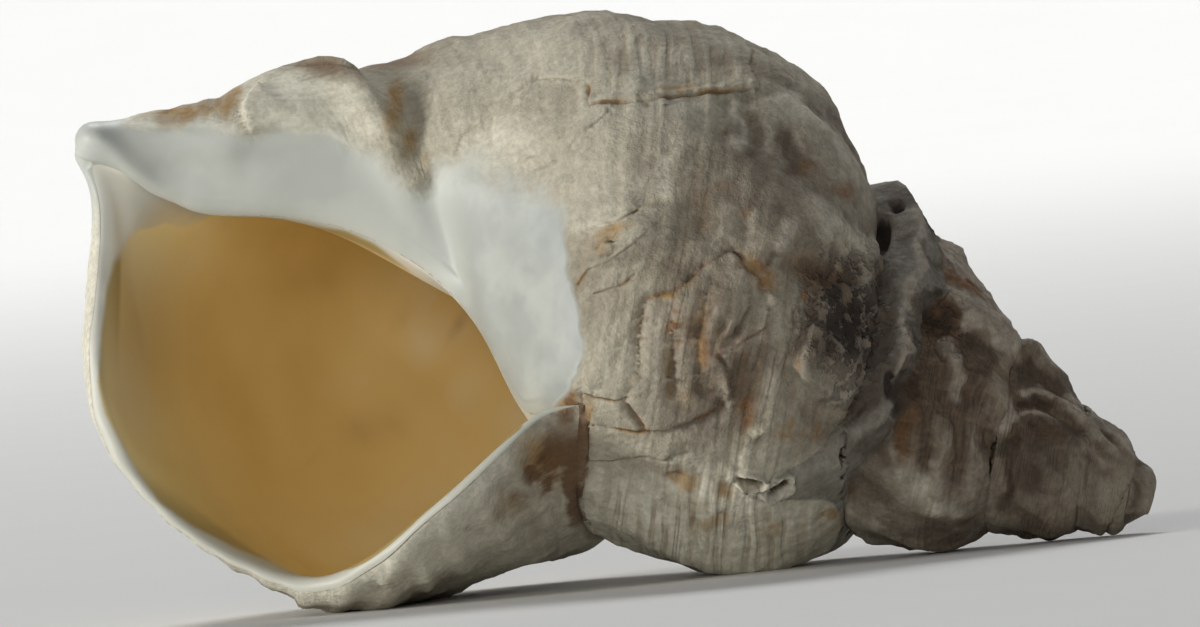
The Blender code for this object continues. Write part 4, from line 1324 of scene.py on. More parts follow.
@dataclass
class Relief:
    """Everything that stands out of or is cut into the smooth form, in millimetres."""

    marks: WearMarks
    pixel: float = 1 / PhotoView.pixels_per_mm
    cord_rise: float = 0.13
    wear_rise: float = 0.19
    clot_depth: float = 0.16
    flake_rise: float = 0.16
    suture_fill: float = 0.75
    growth_rise: float = 0.11
    growth_step: float = radians(6.5)
    wrinkle_rise: float = 0.18
    wrinkle_tilt: float = radians(-22)
    wrinkled: tuple = marks_of(Spot, (560, 180, 130, 80), (640, 250, 90, 50))
    crest_rise: float = 0.5
    fold_length: float = 23.8
    rib_spacing: float = 1.75
    pit_depth: float = 0.45
    knob: Spot = Spot(290, 105, 90, 45)
    blob: Spot = Spot(94, 138, 17, 15)
    blob_rise: float = 0.9
    canal_from: float = 66
    size_rate: float = 0.0872
    least_size: float = 0.15
    fill_width: float = 1.9
    worn_tip: tuple = (radians(-640), radians(160))

    def cords(self, skin: Skin) -> Values:
        """The primary spiral cords, more or less worn from place to place, and strong at the lip.

        Args:
            skin: what is known of the points.

        Returns:
            The rise in millimetres.
        """
        wave = np.cos(TURN * (skin.inside - FIRST_CORD) / CORD_SPACING)
        wear = np.clip(0.3 + 0.6 * cloud_noise(skin.points, 9, 11, 2), 0, 1)
        rim = ease((np.abs(skin.inward) - 0.3) / 2.5)
        return self.cord_rise * wear * rim * np.maximum(wave, -0.5)

    def wear(self, skin: Skin) -> Values:
        """Lumps, hollows and chipped ledges of a long time in the surf.

        Args:
            skin: what is known of the points.

        Returns:
            The rise in millimetres.
        """
        lumps = cloud_noise(skin.points, 5.5, 31, 5)
        chips = 2.6 * cloud_noise(skin.points, 4.2, 131, 4)
        ledges = np.floor(chips) + ease((chips - np.floor(chips)) / 0.22)
        early = 0.3 + ease((radians(-100) - skin.azimuth) / radians(60))
        clots = np.maximum(0.34 - np.abs(cloud_noise(skin.points, 2.4, 231, 4)), 0) / 0.34
        return self.wear_rise * (lumps + 0.8 * ledges) * (0.6 + early) - self.clot_depth * early * clots

    def wrinkles(self, skin: Skin) -> Values:
        """Scratched wrinkles that rise to the right across the upper body whorl.

        Args:
            skin: what is known of the points.

        Returns:
            The rise in millimetres.
        """
        cos, sin = np.cos(self.wrinkle_tilt), np.sin(self.wrinkle_tilt)
        along = (skin.x * cos + skin.y * sin) * self.pixel
        across = (skin.y * cos - skin.x * sin) * self.pixel
        way = np.stack([along / 5, across / 0.8, np.zeros_like(along)], axis=-1)
        rise = self.wrinkle_rise * strongest(self.wrinkled, skin.pixels)
        return rise * (lattice_noise(way, 5) + 0.5 * lattice_noise(2.1 * way, 6))

    def growth(self, skin: Skin) -> Values:
        """Low steps where growth paused.

        Args:
            skin: what is known of the points.

        Returns:
            The rise in millimetres.
        """
        growth = skin.azimuth + 0.03 * (skin.inside - 50) + 0.05 * cloud_noise(skin.points, 14, 51, 2)
        steps = growth / self.growth_step
        share = steps - np.floor(steps)
        strength = np.clip(0.5 + 0.8 * cloud_noise(skin.points, 11, 57, 2), 0, 1)
        return self.growth_rise * strength * (share - 0.5) * ease(share / 0.06) * ease((1 - share) / 0.08)

    def folds(self, skin: Skin) -> Values:
        """Narrow crests on the leaning folds of the spire.

        Args:
            skin: what is known of the points.

        Returns:
            The rise in millimetres.
        """
        along = (skin.inside - SUTURE) / self.fold_length
        wander = 1.2 * cloud_noise(skin.points, 7, 77, 2)
        wave = np.cos(FOLDS_PER_TURN * (skin.azimuth - FOLD_LEAN * (along - 0.5)) + wander)
        early = ease((radians(-40) - skin.azimuth) / radians(60))
        crest = self.crest_rise * early * (np.maximum(wave, 0) ** 2 - 0.3)
        return crest * ease(along / 0.2) * ease((1.1 - along) / 0.3)

    def worn(self, skin: Skin, facing: Values) -> Values:
        """The named flakes, cracks, pits and holes.

        Args:
            skin: what is known of the points.
            facing: 1 where the surface faces the camera.

        Returns:
            The rise in millimetres.
        """
        total = np.zeros(len(skin.azimuth))
        pixels = skin.pixels
        inside_flake = -to_patch(pixels, self.marks.flake) * self.pixel
        raised = ease(inside_flake / 0.26 + 0.5)
        ribs = np.cos(TURN * (skin.inside - FIRST_CORD) / self.rib_spacing)
        total += self.flake_rise * raised * ease((770 - pixels[:, 0]) / 90)
        total += raised * 0.07 * ribs - 0.26 * np.exp(-((inside_flake + 0.12) / 0.25) ** 2)
        smooth = -to_patch(pixels, self.marks.small_flake) * self.pixel
        total += 0.1 * ease(smooth / 0.3 + 0.2)
        for crack in self.marks.cracks:
            signed, along = to_line(pixels, crack.line)
            signed = signed * self.pixel
            step = crack.step * ease(signed / 0.12 + 0.5) * np.exp(-np.abs(signed) / crack.width)
            cut = crack.gap * np.exp(-(signed / crack.half_gap) ** 2)
            total += (1.3 * step - 1.5 * cut) * crack.within(along)
        pits = ease((cloud_noise(skin.points, 1.1, 71, 3) + 0.1) / 0.5)
        total -= self.pit_depth * strongest(self.marks.pitted, pixels) * pits
        total += sum(ridge.height(pixels) for ridge in self.marks.ridges)
        total -= sum(hole.cut(pixels) * hole.strength for hole in self.marks.holes)
        for mouth in self.marks.mouth:
            total += 0.75 * mouth.rim(pixels) - mouth.cut(pixels) * mouth.strength
        total += sum(dent.share(pixels) for dent in self.marks.dents)
        swells = sum(swell.share(pixels) for swell in self.marks.swells)
        return (total + self.wrinkles(skin)) * facing + swells * skin.in_front(-0.3, 0.25)

    def height(self, skin: Skin, callus: Values, tube: Values) -> Values:
        """Rise of the surface along its normals.

        Args:
            skin: what is known of the points.
            callus: 1 on the smooth callus and 0 off it.
            tube: 1 on the keeled tube and 0 off it.

        Returns:
            The rise in millimetres.
        """
        bare = 1 - tube
        open_ground = 1 - callus
        below, above = skin.inside - SUTURE, NEXT_SUTURE - skin.inside
        suture = ease(below) * np.where(skin.on_spire, ease(above), 1)
        canal = 1 - 0.6 * ease((skin.inside - self.canal_from) / 8)
        calm = 1 - 0.7 * self.knob.share(skin.pixels) * skin.in_front(-0.2, 0.3)
        size = np.clip(np.exp((skin.azimuth - radians(90)) * self.size_rate), self.least_size, 1)
        facing = skin.in_front(0.02, 0.2)
        at_lip = np.exp(-(skin.inward / 3) ** 2)
        rise = (self.cords(skin) * canal * bare + self.wear(skin) * (1 - 0.6 * tube) * canal * (1 - at_lip)
                + (self.growth(skin) + self.folds(skin)) * bare) * size * calm
        rise = (rise * suture + self.worn(skin, facing)) * open_ground
        rise += tube * 0.1 * cloud_noise(skin.points, 1.6, 91, 3)
        beside = np.where(skin.on_spire, np.minimum(below, above), below)
        away = np.where(skin.on_spire, 1, ease((-skin.inward - 3) / 5))
        away *= ease((skin.points[:, 0] - 2.5) / 2.5)
        tip = ease((self.worn_tip[0] - skin.azimuth) / self.worn_tip[1])
        fill = self.suture_fill * (1 + 2.8 * tip) * np.exp(-(beside / (self.fill_width + 4 * tip)) ** 2)
        rise += fill * size * away * open_ground * skin.outside
        edge_on = ease((skin.inward + 9) / 3) * ease((0.35 - skin.facing) / 0.2)
        rise -= np.maximum(rise, 0) * edge_on
        rise += self.blob_rise * skin.in_front(-0.3, 0.25) * self.blob.share(skin.pixels)
        rise += sum(bead.height(skin.pixels) for bead in self.marks.bead) * facing * callus
        return np.where(skin.outside, rise, 0) * ease((np.abs(skin.inward) - 0.1) / 1.1)


@contextmanager
def editing(piece: bpy.types.Object, kind: str) -> Iterator[None]:
    """Edit mode on a piece, for operators that act on what is selected, with nothing left selected.

    Args:
        piece: the piece.
        kind: what is selected: VERT or FACE.

    Returns:
        The context of a with statement.
    """
    bpy.context.view_layer.objects.active = piece
    bpy.ops.object.mode_set(mode="EDIT")
    bpy.ops.mesh.select_mode(type=kind)
    yield
    bpy.ops.mesh.select_all(action="DESELECT")
    bpy.ops.object.mode_set(mode="OBJECT")


def triples(items: bpy.types.bpy_prop_collection, name: str) -> Values:
    """Rows of the three numbers that each item of a mesh holds under a name.

    Args:
        items: the mesh's vertices or normals.
        name: what is read.

    Returns:
        One row for each item.
    """
    flat = np.empty(len(items) * 3)
    items.foreach_get(name, flat)
    return flat.reshape(-1, 3)


@dataclass
class ShellPiece:
    """The shell as one mesh, with its relief and the values that its finish reads."""

    form: ShellForm
    tube: KeeledTube
    relief: Relief
    rest: Rest
    view: PhotoView
    glazed_from: float = 91
    soft_passes: int = 26
    refined: tuple = (10, 3.6)
    weld: float = 2.0e-6
    soft_depth: float = 16
    soft_reach: float = 1.6
    soft_from: float = 88.5
    edge_passes: int = 6
    sharp_width: float = 5
    stain_wobble: float = 6
    edge_wobble: float = 11
    name: str = "whelk_shell"
    faded_edge: Spot = Spot(510, 180, 60, 34)
    soft_amber: Spot = Spot(160, 215, 45, 45)
    pale_tip: Spot = Spot(1112, 488, 46, 40)
    plain_knob: Spot = Spot(295, 105, 90, 45)

    def wrapped_grid(self, sheet: Sheet) -> bpy.types.Object:
        """A grid wrapped over one sheet's points, with the sheet's values on it.

        Args:
            sheet: the sheet.

        Returns:
            The grid's object.
        """
        rows, columns = sheet.azimuth.shape
        bpy.ops.object.select_all(action="DESELECT")
        bpy.ops.mesh.primitive_grid_add(x_subdivisions=rows - 1, y_subdivisions=columns - 1, size=2)
        piece = bpy.context.object
        piece.name = f"{self.name}_{sheet.part.name.lower()}"
        mesh = piece.data
        flat = triples(mesh.vertices, "co")
        row = np.rint((flat[:, 0] + 1) * 0.5 * (rows - 1)).astype(int)
        column = np.rint((flat[:, 1] + 1) * 0.5 * (columns - 1)).astype(int)
        mesh.vertices.foreach_set("co", self.rest.lay(sheet.points[row, column]).ravel())
        for name, values in sheet.channels().items():
            layer = mesh.attributes.new(name, "FLOAT", "POINT")
            layer.data.foreach_set("value", values[row, column])
        self.map_pattern(mesh, sheet, row, column)
        return piece

    def map_pattern(self, mesh: bpy.types.Mesh, sheet: Sheet, row: Values, column: Values) -> None:
        """Give the mesh a UV map that runs along the growth lines and the spiral cords.

        Args:
            mesh: the shell's mesh.
            sheet: the sheet that it is wrapped over.
            row: the sheet's row at each vertex.
            column: the sheet's column at each vertex.
        """
        azimuth, inside = sheet.azimuth[row, column], sheet.inside[row, column]
        if sheet.part is Part.HOLLOW:
            along = column / (sheet.azimuth.shape[1] - 1)
            pattern = np.stack([sheet.inward[row, column] * 0.01, along], axis=-1)
        else:
            lean = 0.012 + 0.02 * ease((azimuth + 0.2) / 1.2)
            pattern = np.stack([(azimuth + lean * (inside - 50)) * 0.23, inside * 0.01], axis=-1)
        corners = np.empty(len(mesh.loops), int)
        mesh.loops.foreach_get("vertex_index", corners)
        mesh.uv_layers.active.name = "growth"
        mesh.uv_layers.active.data.foreach_set("uv", pattern[corners].ravel())

    def welded(self) -> bpy.types.Object:
        """The sheets joined into one closed mesh with its normals outwards.

        Returns:
            The shell's object.
        """
        pieces = [self.wrapped_grid(sheet) for sheet in self.form.sheets()]
        bpy.ops.object.select_all(action="DESELECT")
        for piece in pieces:
            piece.select_set(True)
        bpy.context.view_layer.objects.active = pieces[1]
        bpy.ops.object.join()
        shell = bpy.context.object
        shell.name = shell.data.name = self.name
        with editing(shell, "VERT"):
            for job, settings in ((bpy.ops.mesh.remove_doubles, {"threshold": self.weld}),
                                  (bpy.ops.mesh.fill_holes, {"sides": 0}),
                                  (bpy.ops.mesh.normals_make_consistent, {"inside": False})):
                bpy.ops.mesh.select_all(action="SELECT")
                job(**settings)
        part, inward = self.read(shell.data, "part"), self.read(shell.data, "inward")
        part[(np.abs(inward) < 1.0e-4) & (part > 1.5)] = Part.LAST_WHORL.value
        self.write(shell.data, "part", part)
        return shell

    def read(self, mesh: bpy.types.Mesh, name: str) -> Values:
        """One of the values that ride on the mesh's points.

        Args:
            mesh: the shell's mesh.
            name: the attribute's name.

        Returns:
            One value for each point.
        """
        values = np.empty(len(mesh.vertices))
        mesh.attributes[name].data.foreach_get("value", values)
        return values

    def write(self, mesh: bpy.types.Mesh, name: str, values: Values) -> None:
        """Put a value on the mesh's points."""
        layer = mesh.attributes.get(name) or mesh.attributes.new(name, "FLOAT", "POINT")
        layer.data.foreach_set("value", np.ascontiguousarray(values, dtype=np.float32))

    def skin_of(self, mesh: bpy.types.Mesh) -> Skin:
        """Read back from a mesh what is known of its points.

        Args:
            mesh: the shell's mesh.

        Returns:
            Everything about its points.
        """
        points = self.rest.lift(triples(mesh.vertices, "co"))
        normals = triples(mesh.vertex_normals, "vector") @ np.array(self.rest.turn)
        normals = np.stack([-normals[:, 0], normals[:, 2], -normals[:, 1]], axis=-1)
        known = [self.read(mesh, name) for name in ("azimuth", "inside", "inward", "column", "part")]
        return Skin(points, normals, *known, self.view.pixels(points), normals[:, 2])

    def near_marks(self, skin: Skin) -> Values:
        """Distance in pixels to the nearest sharp mark on the side turned to the camera.

        Args:
            skin: what is known of the points.

        Returns:
            The distances, which are large where the surface faces away.
        """
        marks = self.relief.marks
        nearest = np.abs(to_patch(skin.pixels, marks.flake))
        nearest = np.minimum(nearest, np.abs(to_patch(skin.pixels, marks.small_flake)))
        for mark in marks.cracks + tuple(ridge for ridge in marks.ridges if ridge.right < self.sharp_width):
            nearest = np.minimum(nearest, np.abs(to_line(skin.pixels, mark.line)[0]))
        for mouth in marks.mouth:
            nearest = np.minimum(nearest, 12 * (1 - mouth.cut(skin.pixels)))
        keel, _ = self.tube.beside_keel(skin.pixels)
        nearest = np.minimum(nearest, np.abs(keel) * self.view.pixels_per_mm * 0.6)
        spire = skin.on_spire & (skin.azimuth > self.form.growth.suture_end - TURN)
        nearest = np.where(spire, np.minimum(nearest, 8), nearest)
        return np.where(skin.outside & (skin.facing > 0.05), nearest, 999)

    def refine(self, shell: bpy.types.Object, reach: float) -> None:
        """Cut the faces near the sharp marks into four.

        Args:
            shell: the shell's object.
            reach: how near to a mark, in pixels, a face's points all lie.
        """
        mesh = shell.data
        near = (self.near_marks(self.skin_of(mesh)) < reach).astype(int)
        corners, starts = np.empty(len(mesh.loops), int), np.empty(len(mesh.polygons), int)
        mesh.loops.foreach_get("vertex_index", corners)
        mesh.polygons.foreach_get("loop_start", starts)
        chosen = np.minimum.reduceat(near[corners], starts) > 0
        mesh.polygons.foreach_set("select", chosen)
        with editing(shell, "FACE"):
            bpy.ops.mesh.subdivide(number_cuts=1)

    def soften(self, shell: bpy.types.Object) -> None:
        """Smooth the rim's inner side, the column's edge and the canal's end.

        Args:
            shell: the shell's object.
        """
        skin = self.skin_of(shell.data)
        shell.data.polygons.foreach_set("select", np.zeros(len(shell.data.polygons), bool))
        shell.data.edges.foreach_set("select", np.zeros(len(shell.data.edges), bool))
        edge = at_shares(self.form.edge_curve(self.form.inner_edge), np.linspace(0, 1, 90))
        apart = np.full(len(skin.points), 99.0)
        for point in edge[8:]:
            apart = np.minimum(apart, np.linalg.norm(skin.points - point, axis=1))
        rim = ~skin.outside & (skin.inward > 0.3) & (skin.inward < self.soft_depth)
        chosen = rim | (apart < self.soft_reach) | (skin.points[:, 0] > self.soft_from)
        edge_ring = (skin.inward > -1.8) & (skin.inward < 1)
        for chosen, passes in ((chosen, self.soft_passes), (chosen | edge_ring, self.edge_passes)):
            shell.data.vertices.foreach_set("select", chosen)
            with editing(shell, "VERT"):
                bpy.ops.mesh.vertices_smooth(factor=0.5, repeat=passes)

    def callus(self, skin: Skin) -> tuple[Values, Values]:
        """Where the smooth callus lies.

        Args:
            skin: what is known of the points.

        Returns:
            How far inside its edge each point is, in millimetres, and how wide that edge is there.
        """
        x, y = skin.x, skin.y
        outline = curve_through(self.relief.marks.callus, 3)
        wobble = self.wobble(skin, 4, (15, 19)) * self.edge_wobble * ease((x[:, None] - 430) / 40)
        edge = np.clip(-to_patch(skin.pixels + wobble, outline) / self.view.pixels_per_mm, -3, 3)
        front = skin.in_front(-0.15, 0.3) * ease((radians(75) - skin.azimuth) / radians(20))
        edge = np.where(skin.outside, edge * front - 3 * (1 - front), 3)
        edge = np.maximum(edge, np.clip(skin.points[:, 0] - self.glazed_from, -3, 3))
        sharp = ease((x - 400) / 40) * (0.2 + 0.8 * ease((y - 200) / 60))
        return edge, 1.2 - 0.85 * sharp + 2.2 * self.faded_edge.share(skin.pixels)

    def wobble(self, skin: Skin, size: float, seeds: tuple) -> Values:
        """Noise across and down the photograph, from two seeds."""
        return np.stack([cloud_noise(skin.points, size, seed, 3) for seed in seeds], axis=-1)

    def build(self) -> bpy.types.Object:
        """Model the shell with all its relief.

        Returns:
            The shell's object, lying on the floor.
        """
        shell = self.welded()
        self.soften(shell)
        for reach in self.refined:
            self.refine(shell, reach)
        mesh = shell.data
        skin = self.skin_of(mesh)
        points, tube = self.tube.raised(skin.points, skin.outside, skin.facing)
        mesh.vertices.foreach_set("co", self.rest.lay(points).ravel())
        mesh.update()
        skin = self.skin_of(mesh)
        edge, width = self.callus(skin)
        rise = self.relief.height(skin, np.where(skin.outside, ease(edge / 0.5 + 0.5), 1), tube)
        placed = self.rest.lay(skin.points + skin.normals * rise[:, None])
        placed[:, 2] = np.maximum(placed[:, 2], 0)
        mesh.vertices.foreach_set("co", placed.ravel())
        mesh.update()
        wobbled = skin.pixels + self.stain_wobble * self.wobble(skin, 1.6, (5, 9))
        shown = {"relief": rise, "glaze": np.clip(edge / width, -3, 3), "crust": tube}
        for name, values in (shown | self.stains(skin, wobbled) | self.inside_tones(skin, wobbled)).items():
            self.write(mesh, name, values)
        bpy.ops.object.select_all(action="DESELECT")
        shell.select_set(True)
        bpy.context.view_layer.objects.active = shell
        bpy.ops.object.shade_smooth()
        return shell

    def dirt_and_shadow(self, skin: Skin, wobbled: Values) -> dict[str, Values]:
        """Rust, umber and black grime in the pits and cracks, with painted shadow beside the tube's keel, in
        the holes and in the tube's mouth.

        Args:
            skin: what is known of the points.
            wobbled: their pixels, moved a little by noise.

        Returns:
            The values by attribute name.
        """
        marks = self.relief.marks
        orange, umber = strongest(marks.orange, wobbled), strongest(marks.umber, wobbled)
        keel, along = self.tube.beside_keel(skin.pixels)
        beside = ease(along / 0.05) * ease((0.9 - along) / 0.1)
        layers = [0.35 * strongest(marks.pitted, wobbled),
                  # Painted shadow along the keel's side towards the spire.
                  0.35 * beside * np.exp(-((keel - 1.3) / 0.9) ** 2) * (keel > 0.1)]
        # Painted shade inside the holes and the tube's mouth.
        layers += [min(1, 1.5 * hole.strength) * hole.cut(skin.pixels) for hole in marks.holes]
        layers += [0.5 * mouth.cut(skin.pixels) for mouth in marks.mouth]
        patchy = np.clip(0.6 + 0.8 * cloud_noise(skin.points, 2.5, 21, 2), 0.1, 1)
        for crack in marks.cracks:
            distance, along = to_line(skin.pixels, crack.line)
            share = patchy * crack.within(along)
            orange = np.maximum(orange, crack.stain * share * np.exp(-(distance / 2.8) ** 2))
            umber = np.maximum(umber, 1.2 * crack.stain * share * np.exp(-(distance / 1.4) ** 2))
            layers.append(0.55 * share * np.exp(-(distance / 1.5) ** 2))
        edge = to_patch(skin.pixels, marks.flake)
        orange = np.maximum(orange, 0.6 * np.exp(-(edge / 2.4) ** 2))
        return {"orange": orange, "umber": umber, "dark": np.maximum.reduce(layers)}

    def stains(self, skin: Skin, wobbled: Values) -> dict[str, Values]:
        """The stains and tones of the outside, with painted light and shade among them.

        Args:
            skin: what is known of the points.
            wobbled: their pixels, moved a little by noise.

        Returns:
            The values by attribute name.
        """
        marks = self.relief.marks
        facing = skin.outside * skin.in_front(-0.1, 0.2)
        rims = np.maximum.reduce([mouth.rim(skin.pixels) for mouth in marks.mouth])
        # The callus greys steadily towards the right as painted shade, and in its mottled patches.
        mottle_and_shade = 0.75 * ease((skin.x - 425) / 60)
        mottle_and_shade = np.maximum(strongest(marks.mottles, skin.pixels), mottle_and_shade)
        values = self.dirt_and_shadow(skin, wobbled) | {
            # tone holds the painted highlight and shade of the ridges and shade strokes.
            "grey": strongest(marks.grey, wobbled), "tone": marks.tone(wobbled) + 0.5 * rims,
            "pitted": strongest(marks.pitted, wobbled), "mottle_and_shade": mottle_and_shade,
            "ochre": strongest(marks.ochre, skin.pixels)}
        values = {name: value * facing for name, value in values.items()}
        # The spire's dark tint: its older weathering, and painted shade.
        spire = 0.1 + 0.85 * ease((radians(-85) - skin.azimuth) / radians(60))
        body = 0.1 + 0.6 * np.exp(-((skin.inside - SUTURE) / 5) ** 2)
        patina_and_shade = np.maximum(np.where(skin.on_spire, spire, body), strongest(marks.patina_and_shade, wobbled) * facing)
        patina_and_shade *= 1 - 0.25 * self.pale_tip.share(skin.pixels) * facing
        lip = ease((skin.inward + 12) / 6) * ease((170 - skin.x) / 70) * ~skin.on_spire
        knob = self.plain_knob.share(skin.pixels) * facing
        values["patina_and_shade"] = skin.outside * patina_and_shade
        # The cream patches include painted light on the knob, the upper and lower body and the lower lip.
        values["cream"] = skin.outside * np.maximum(strongest(marks.cream, wobbled) * facing, lip)
        values["fine"] = strongest(marks.fine, skin.pixels) * facing + 0.3 * (1 - facing)
        values["fine"] += 0.18 * (1 - knob)
        return values

    def inside_tones(self, skin: Skin, wobbled: Values) -> dict[str, Values]:
        """Where the hollow is amber, and where it is paler or deeper, partly as painted light and shade.

        Args:
            skin: what is known of the points.
            wobbled: their pixels, moved a little by noise.

        Returns:
            The values by attribute name.
        """
        marks = self.relief.marks
        seen = ~skin.outside * skin.in_front(-0.1, 0.2)
        soft = self.soft_amber.share(skin.pixels)
        amber = -to_patch(skin.pixels, marks.amber_area) / self.view.pixels_per_mm
        amber = np.clip(amber / (0.35 + 2.4 * soft), -3, 3)
        first = 4 + seen * (3 + 7 * ease((260 - skin.y) / 60))
        amber = np.maximum(amber, np.clip(skin.inward - first, -3, 3))
        crest = np.clip((skin.inward - 1.5) / 0.35, -3, 3) + 6 * skin.column
        return {"soft_edge": soft, "amber": np.minimum(amber, crest),
                "pale_inside": strongest(marks.pale_inside, wobbled) * seen,
                "deep_inside": strongest(marks.deep_inside, skin.pixels) * seen}


Colour = tuple[float, float, float]


class Signal:
    """What a node gives out, on which sums are written as on numbers."""

    def __init__(self, bench: "NodeBench", socket: bpy.types.NodeSocket) -> None:
        """Keep the output and the bench that its sums are made on."""
        self.bench, self.socket = bench, socket

    def __add__(self, other: "Source") -> "Signal":
        """The sum with another value."""
        return self.bench.math("ADD", self, other)

    def __sub__(self, other: "Source") -> "Signal":
        """What is left after another value is taken off."""
        return self.bench.math("SUBTRACT", self, other)

    def __rsub__(self, other: float) -> "Signal":
        """What is left of a number after this value is taken off."""
        return self.bench.math("SUBTRACT", other, self)

    def __mul__(self, other: "Source") -> "Signal":
        """The product with another value."""
        return self.bench.math("MULTIPLY", self, other)

    def over(self, other: "Source") -> "Signal":
        """The larger of this value and another."""
        return self.bench.math("MAXIMUM", self, other)

    def held(self) -> "Signal":
        """The result of the last sum, held between 0 and 1."""
        self.socket.node.use_clamp = True
        return self


Source = Signal | float | Colour


class NodeBench:
    """Adds nodes to one material and links them."""

    def __init__(self, name: str) -> None:
        """Start a material with a Principled surface.

        Args:
            name: the material's name.
        """
        self.material = bpy.data.materials.new(name)
        self.material.use_nodes = True
        self.tree = self.material.node_tree
        self.surface = self.tree.nodes["Principled BSDF"]

    def add(self, kind: str, **settings: str) -> bpy.types.Node:
        """A node of a kind, with its settings made.

        Args:
            kind: the node's type.
            settings: its settings by name.

        Returns:
            The new node.
        """
        node = self.tree.nodes.new(kind)
        for key, value in settings.items():
            setattr(node, key, value)
        return node

    def feed(self, socket: bpy.types.NodeSocket, source: Source) -> None:
        """Link a socket to an output, or set it to a value.

        Args:
            socket: the input.
            source: an output, a number, a colour or a vector.
        """
        if isinstance(source, Signal):
            self.tree.links.new(source.socket, socket)
        elif isinstance(source, tuple) and socket.type == "RGBA":
            socket.default_value = (*source, 1)
        else:
            socket.default_value = source

    def fed(self, node: bpy.types.Node, output: int | str, *listed: Source, **named: Source) -> Signal:
        """One output of a node whose inputs are given in order or by name.

        Args:
            node: the node.
            output: the output's name or number.
            listed: what the first inputs take.
            named: what the named inputs take.

        Returns:
            The output.
        """
        for place, source in (*enumerate(listed), *named.items()):
            self.feed(node.inputs[place], source)
        return Signal(self, node.outputs[output])

    def math(self, operation: str, first: Source, second: Source = 0) -> Signal:
        """The result of a sum on one or two values."""
        return self.fed(self.add("ShaderNodeMath", operation=operation), 0, first, second)

    def value(self, name: str) -> Signal:
        """A value that rides on the mesh."""
        return Signal(self, self.add("ShaderNodeAttribute", attribute_name=name).outputs["Fac"])

    def span(self, source: Source, low: float, high: float, out_low: float = 0,
             out_high: float = 1) -> Signal:
        """A value eased from one range into another, and held there."""
        node = self.add("ShaderNodeMapRange", interpolation_type="SMOOTHSTEP")
        return self.fed(node, 0, source, low, high, out_low, out_high)

    def stretch(self, vector: Signal, along: float, across: float) -> Signal:
        """A map's coordinates multiplied along the growth of the shell and across it."""
        return self.fed(self.add("ShaderNodeMapping"), 0, Vector=vector, Scale=(along, across, 1))

    def noise(self, vector: Signal, scale: float, detail: float = 4, roughness: float = 0.55,
              distortion: float = 0) -> Signal:
        """Cloudy noise around 0.5."""
        return self.fed(self.add("ShaderNodeTexNoise"), "Fac", Vector=vector, Scale=scale, Detail=detail,
                        Roughness=roughness, Distortion=distortion)

    def cells(self, vector: Signal, scale: float) -> Signal:
        """Distance to the nearest of scattered points."""
        return self.fed(self.add("ShaderNodeTexVoronoi"), "Distance", Vector=vector, Scale=scale)

    def mix(self, factor: Source, first: Source, second: Source, blend: str = "MIX") -> Signal:
        """Two colours mixed by a factor.

        Args:
            factor: the share of the second colour.
            first: the colour below.
            second: the colour on top.
            blend: how the second is laid on.

        Returns:
            The mixed colour.
        """
        node = self.add("ShaderNodeMix", data_type="RGBA", blend_type=blend)
        for place, source in ((0, factor), (6, first), (7, second)):
            self.feed(node.inputs[place], source)
        return Signal(self, node.outputs[2])

    def coated(self, colour: Source, coats: tuple) -> Signal:
        """A colour with coats laid over it in order.

        Args:
            colour: the ground.
            coats: pairs of a share and the colour that it lays on.

        Returns:
            The coated colour.
        """
        for share, tint in coats:
            colour = self.mix(share, colour, tint)
        return colour

    def bump(self, height: Source, distance: float, strength: float = 1,
             normal: Signal | None = None) -> Signal:
        """Surface normals bent by a height in the object's units.

        Args:
            height: the height, from 0 to 1.
            distance: how far 1 stands out.
            strength: how much of it is used.
            normal: normals that are already bent.

        Returns:
            The bent normals.
        """
        more = {} if normal is None else {"Normal": normal}
        return self.fed(self.add("ShaderNodeBump"), 0, Height=height, Distance=distance, Strength=strength,
                        **more)


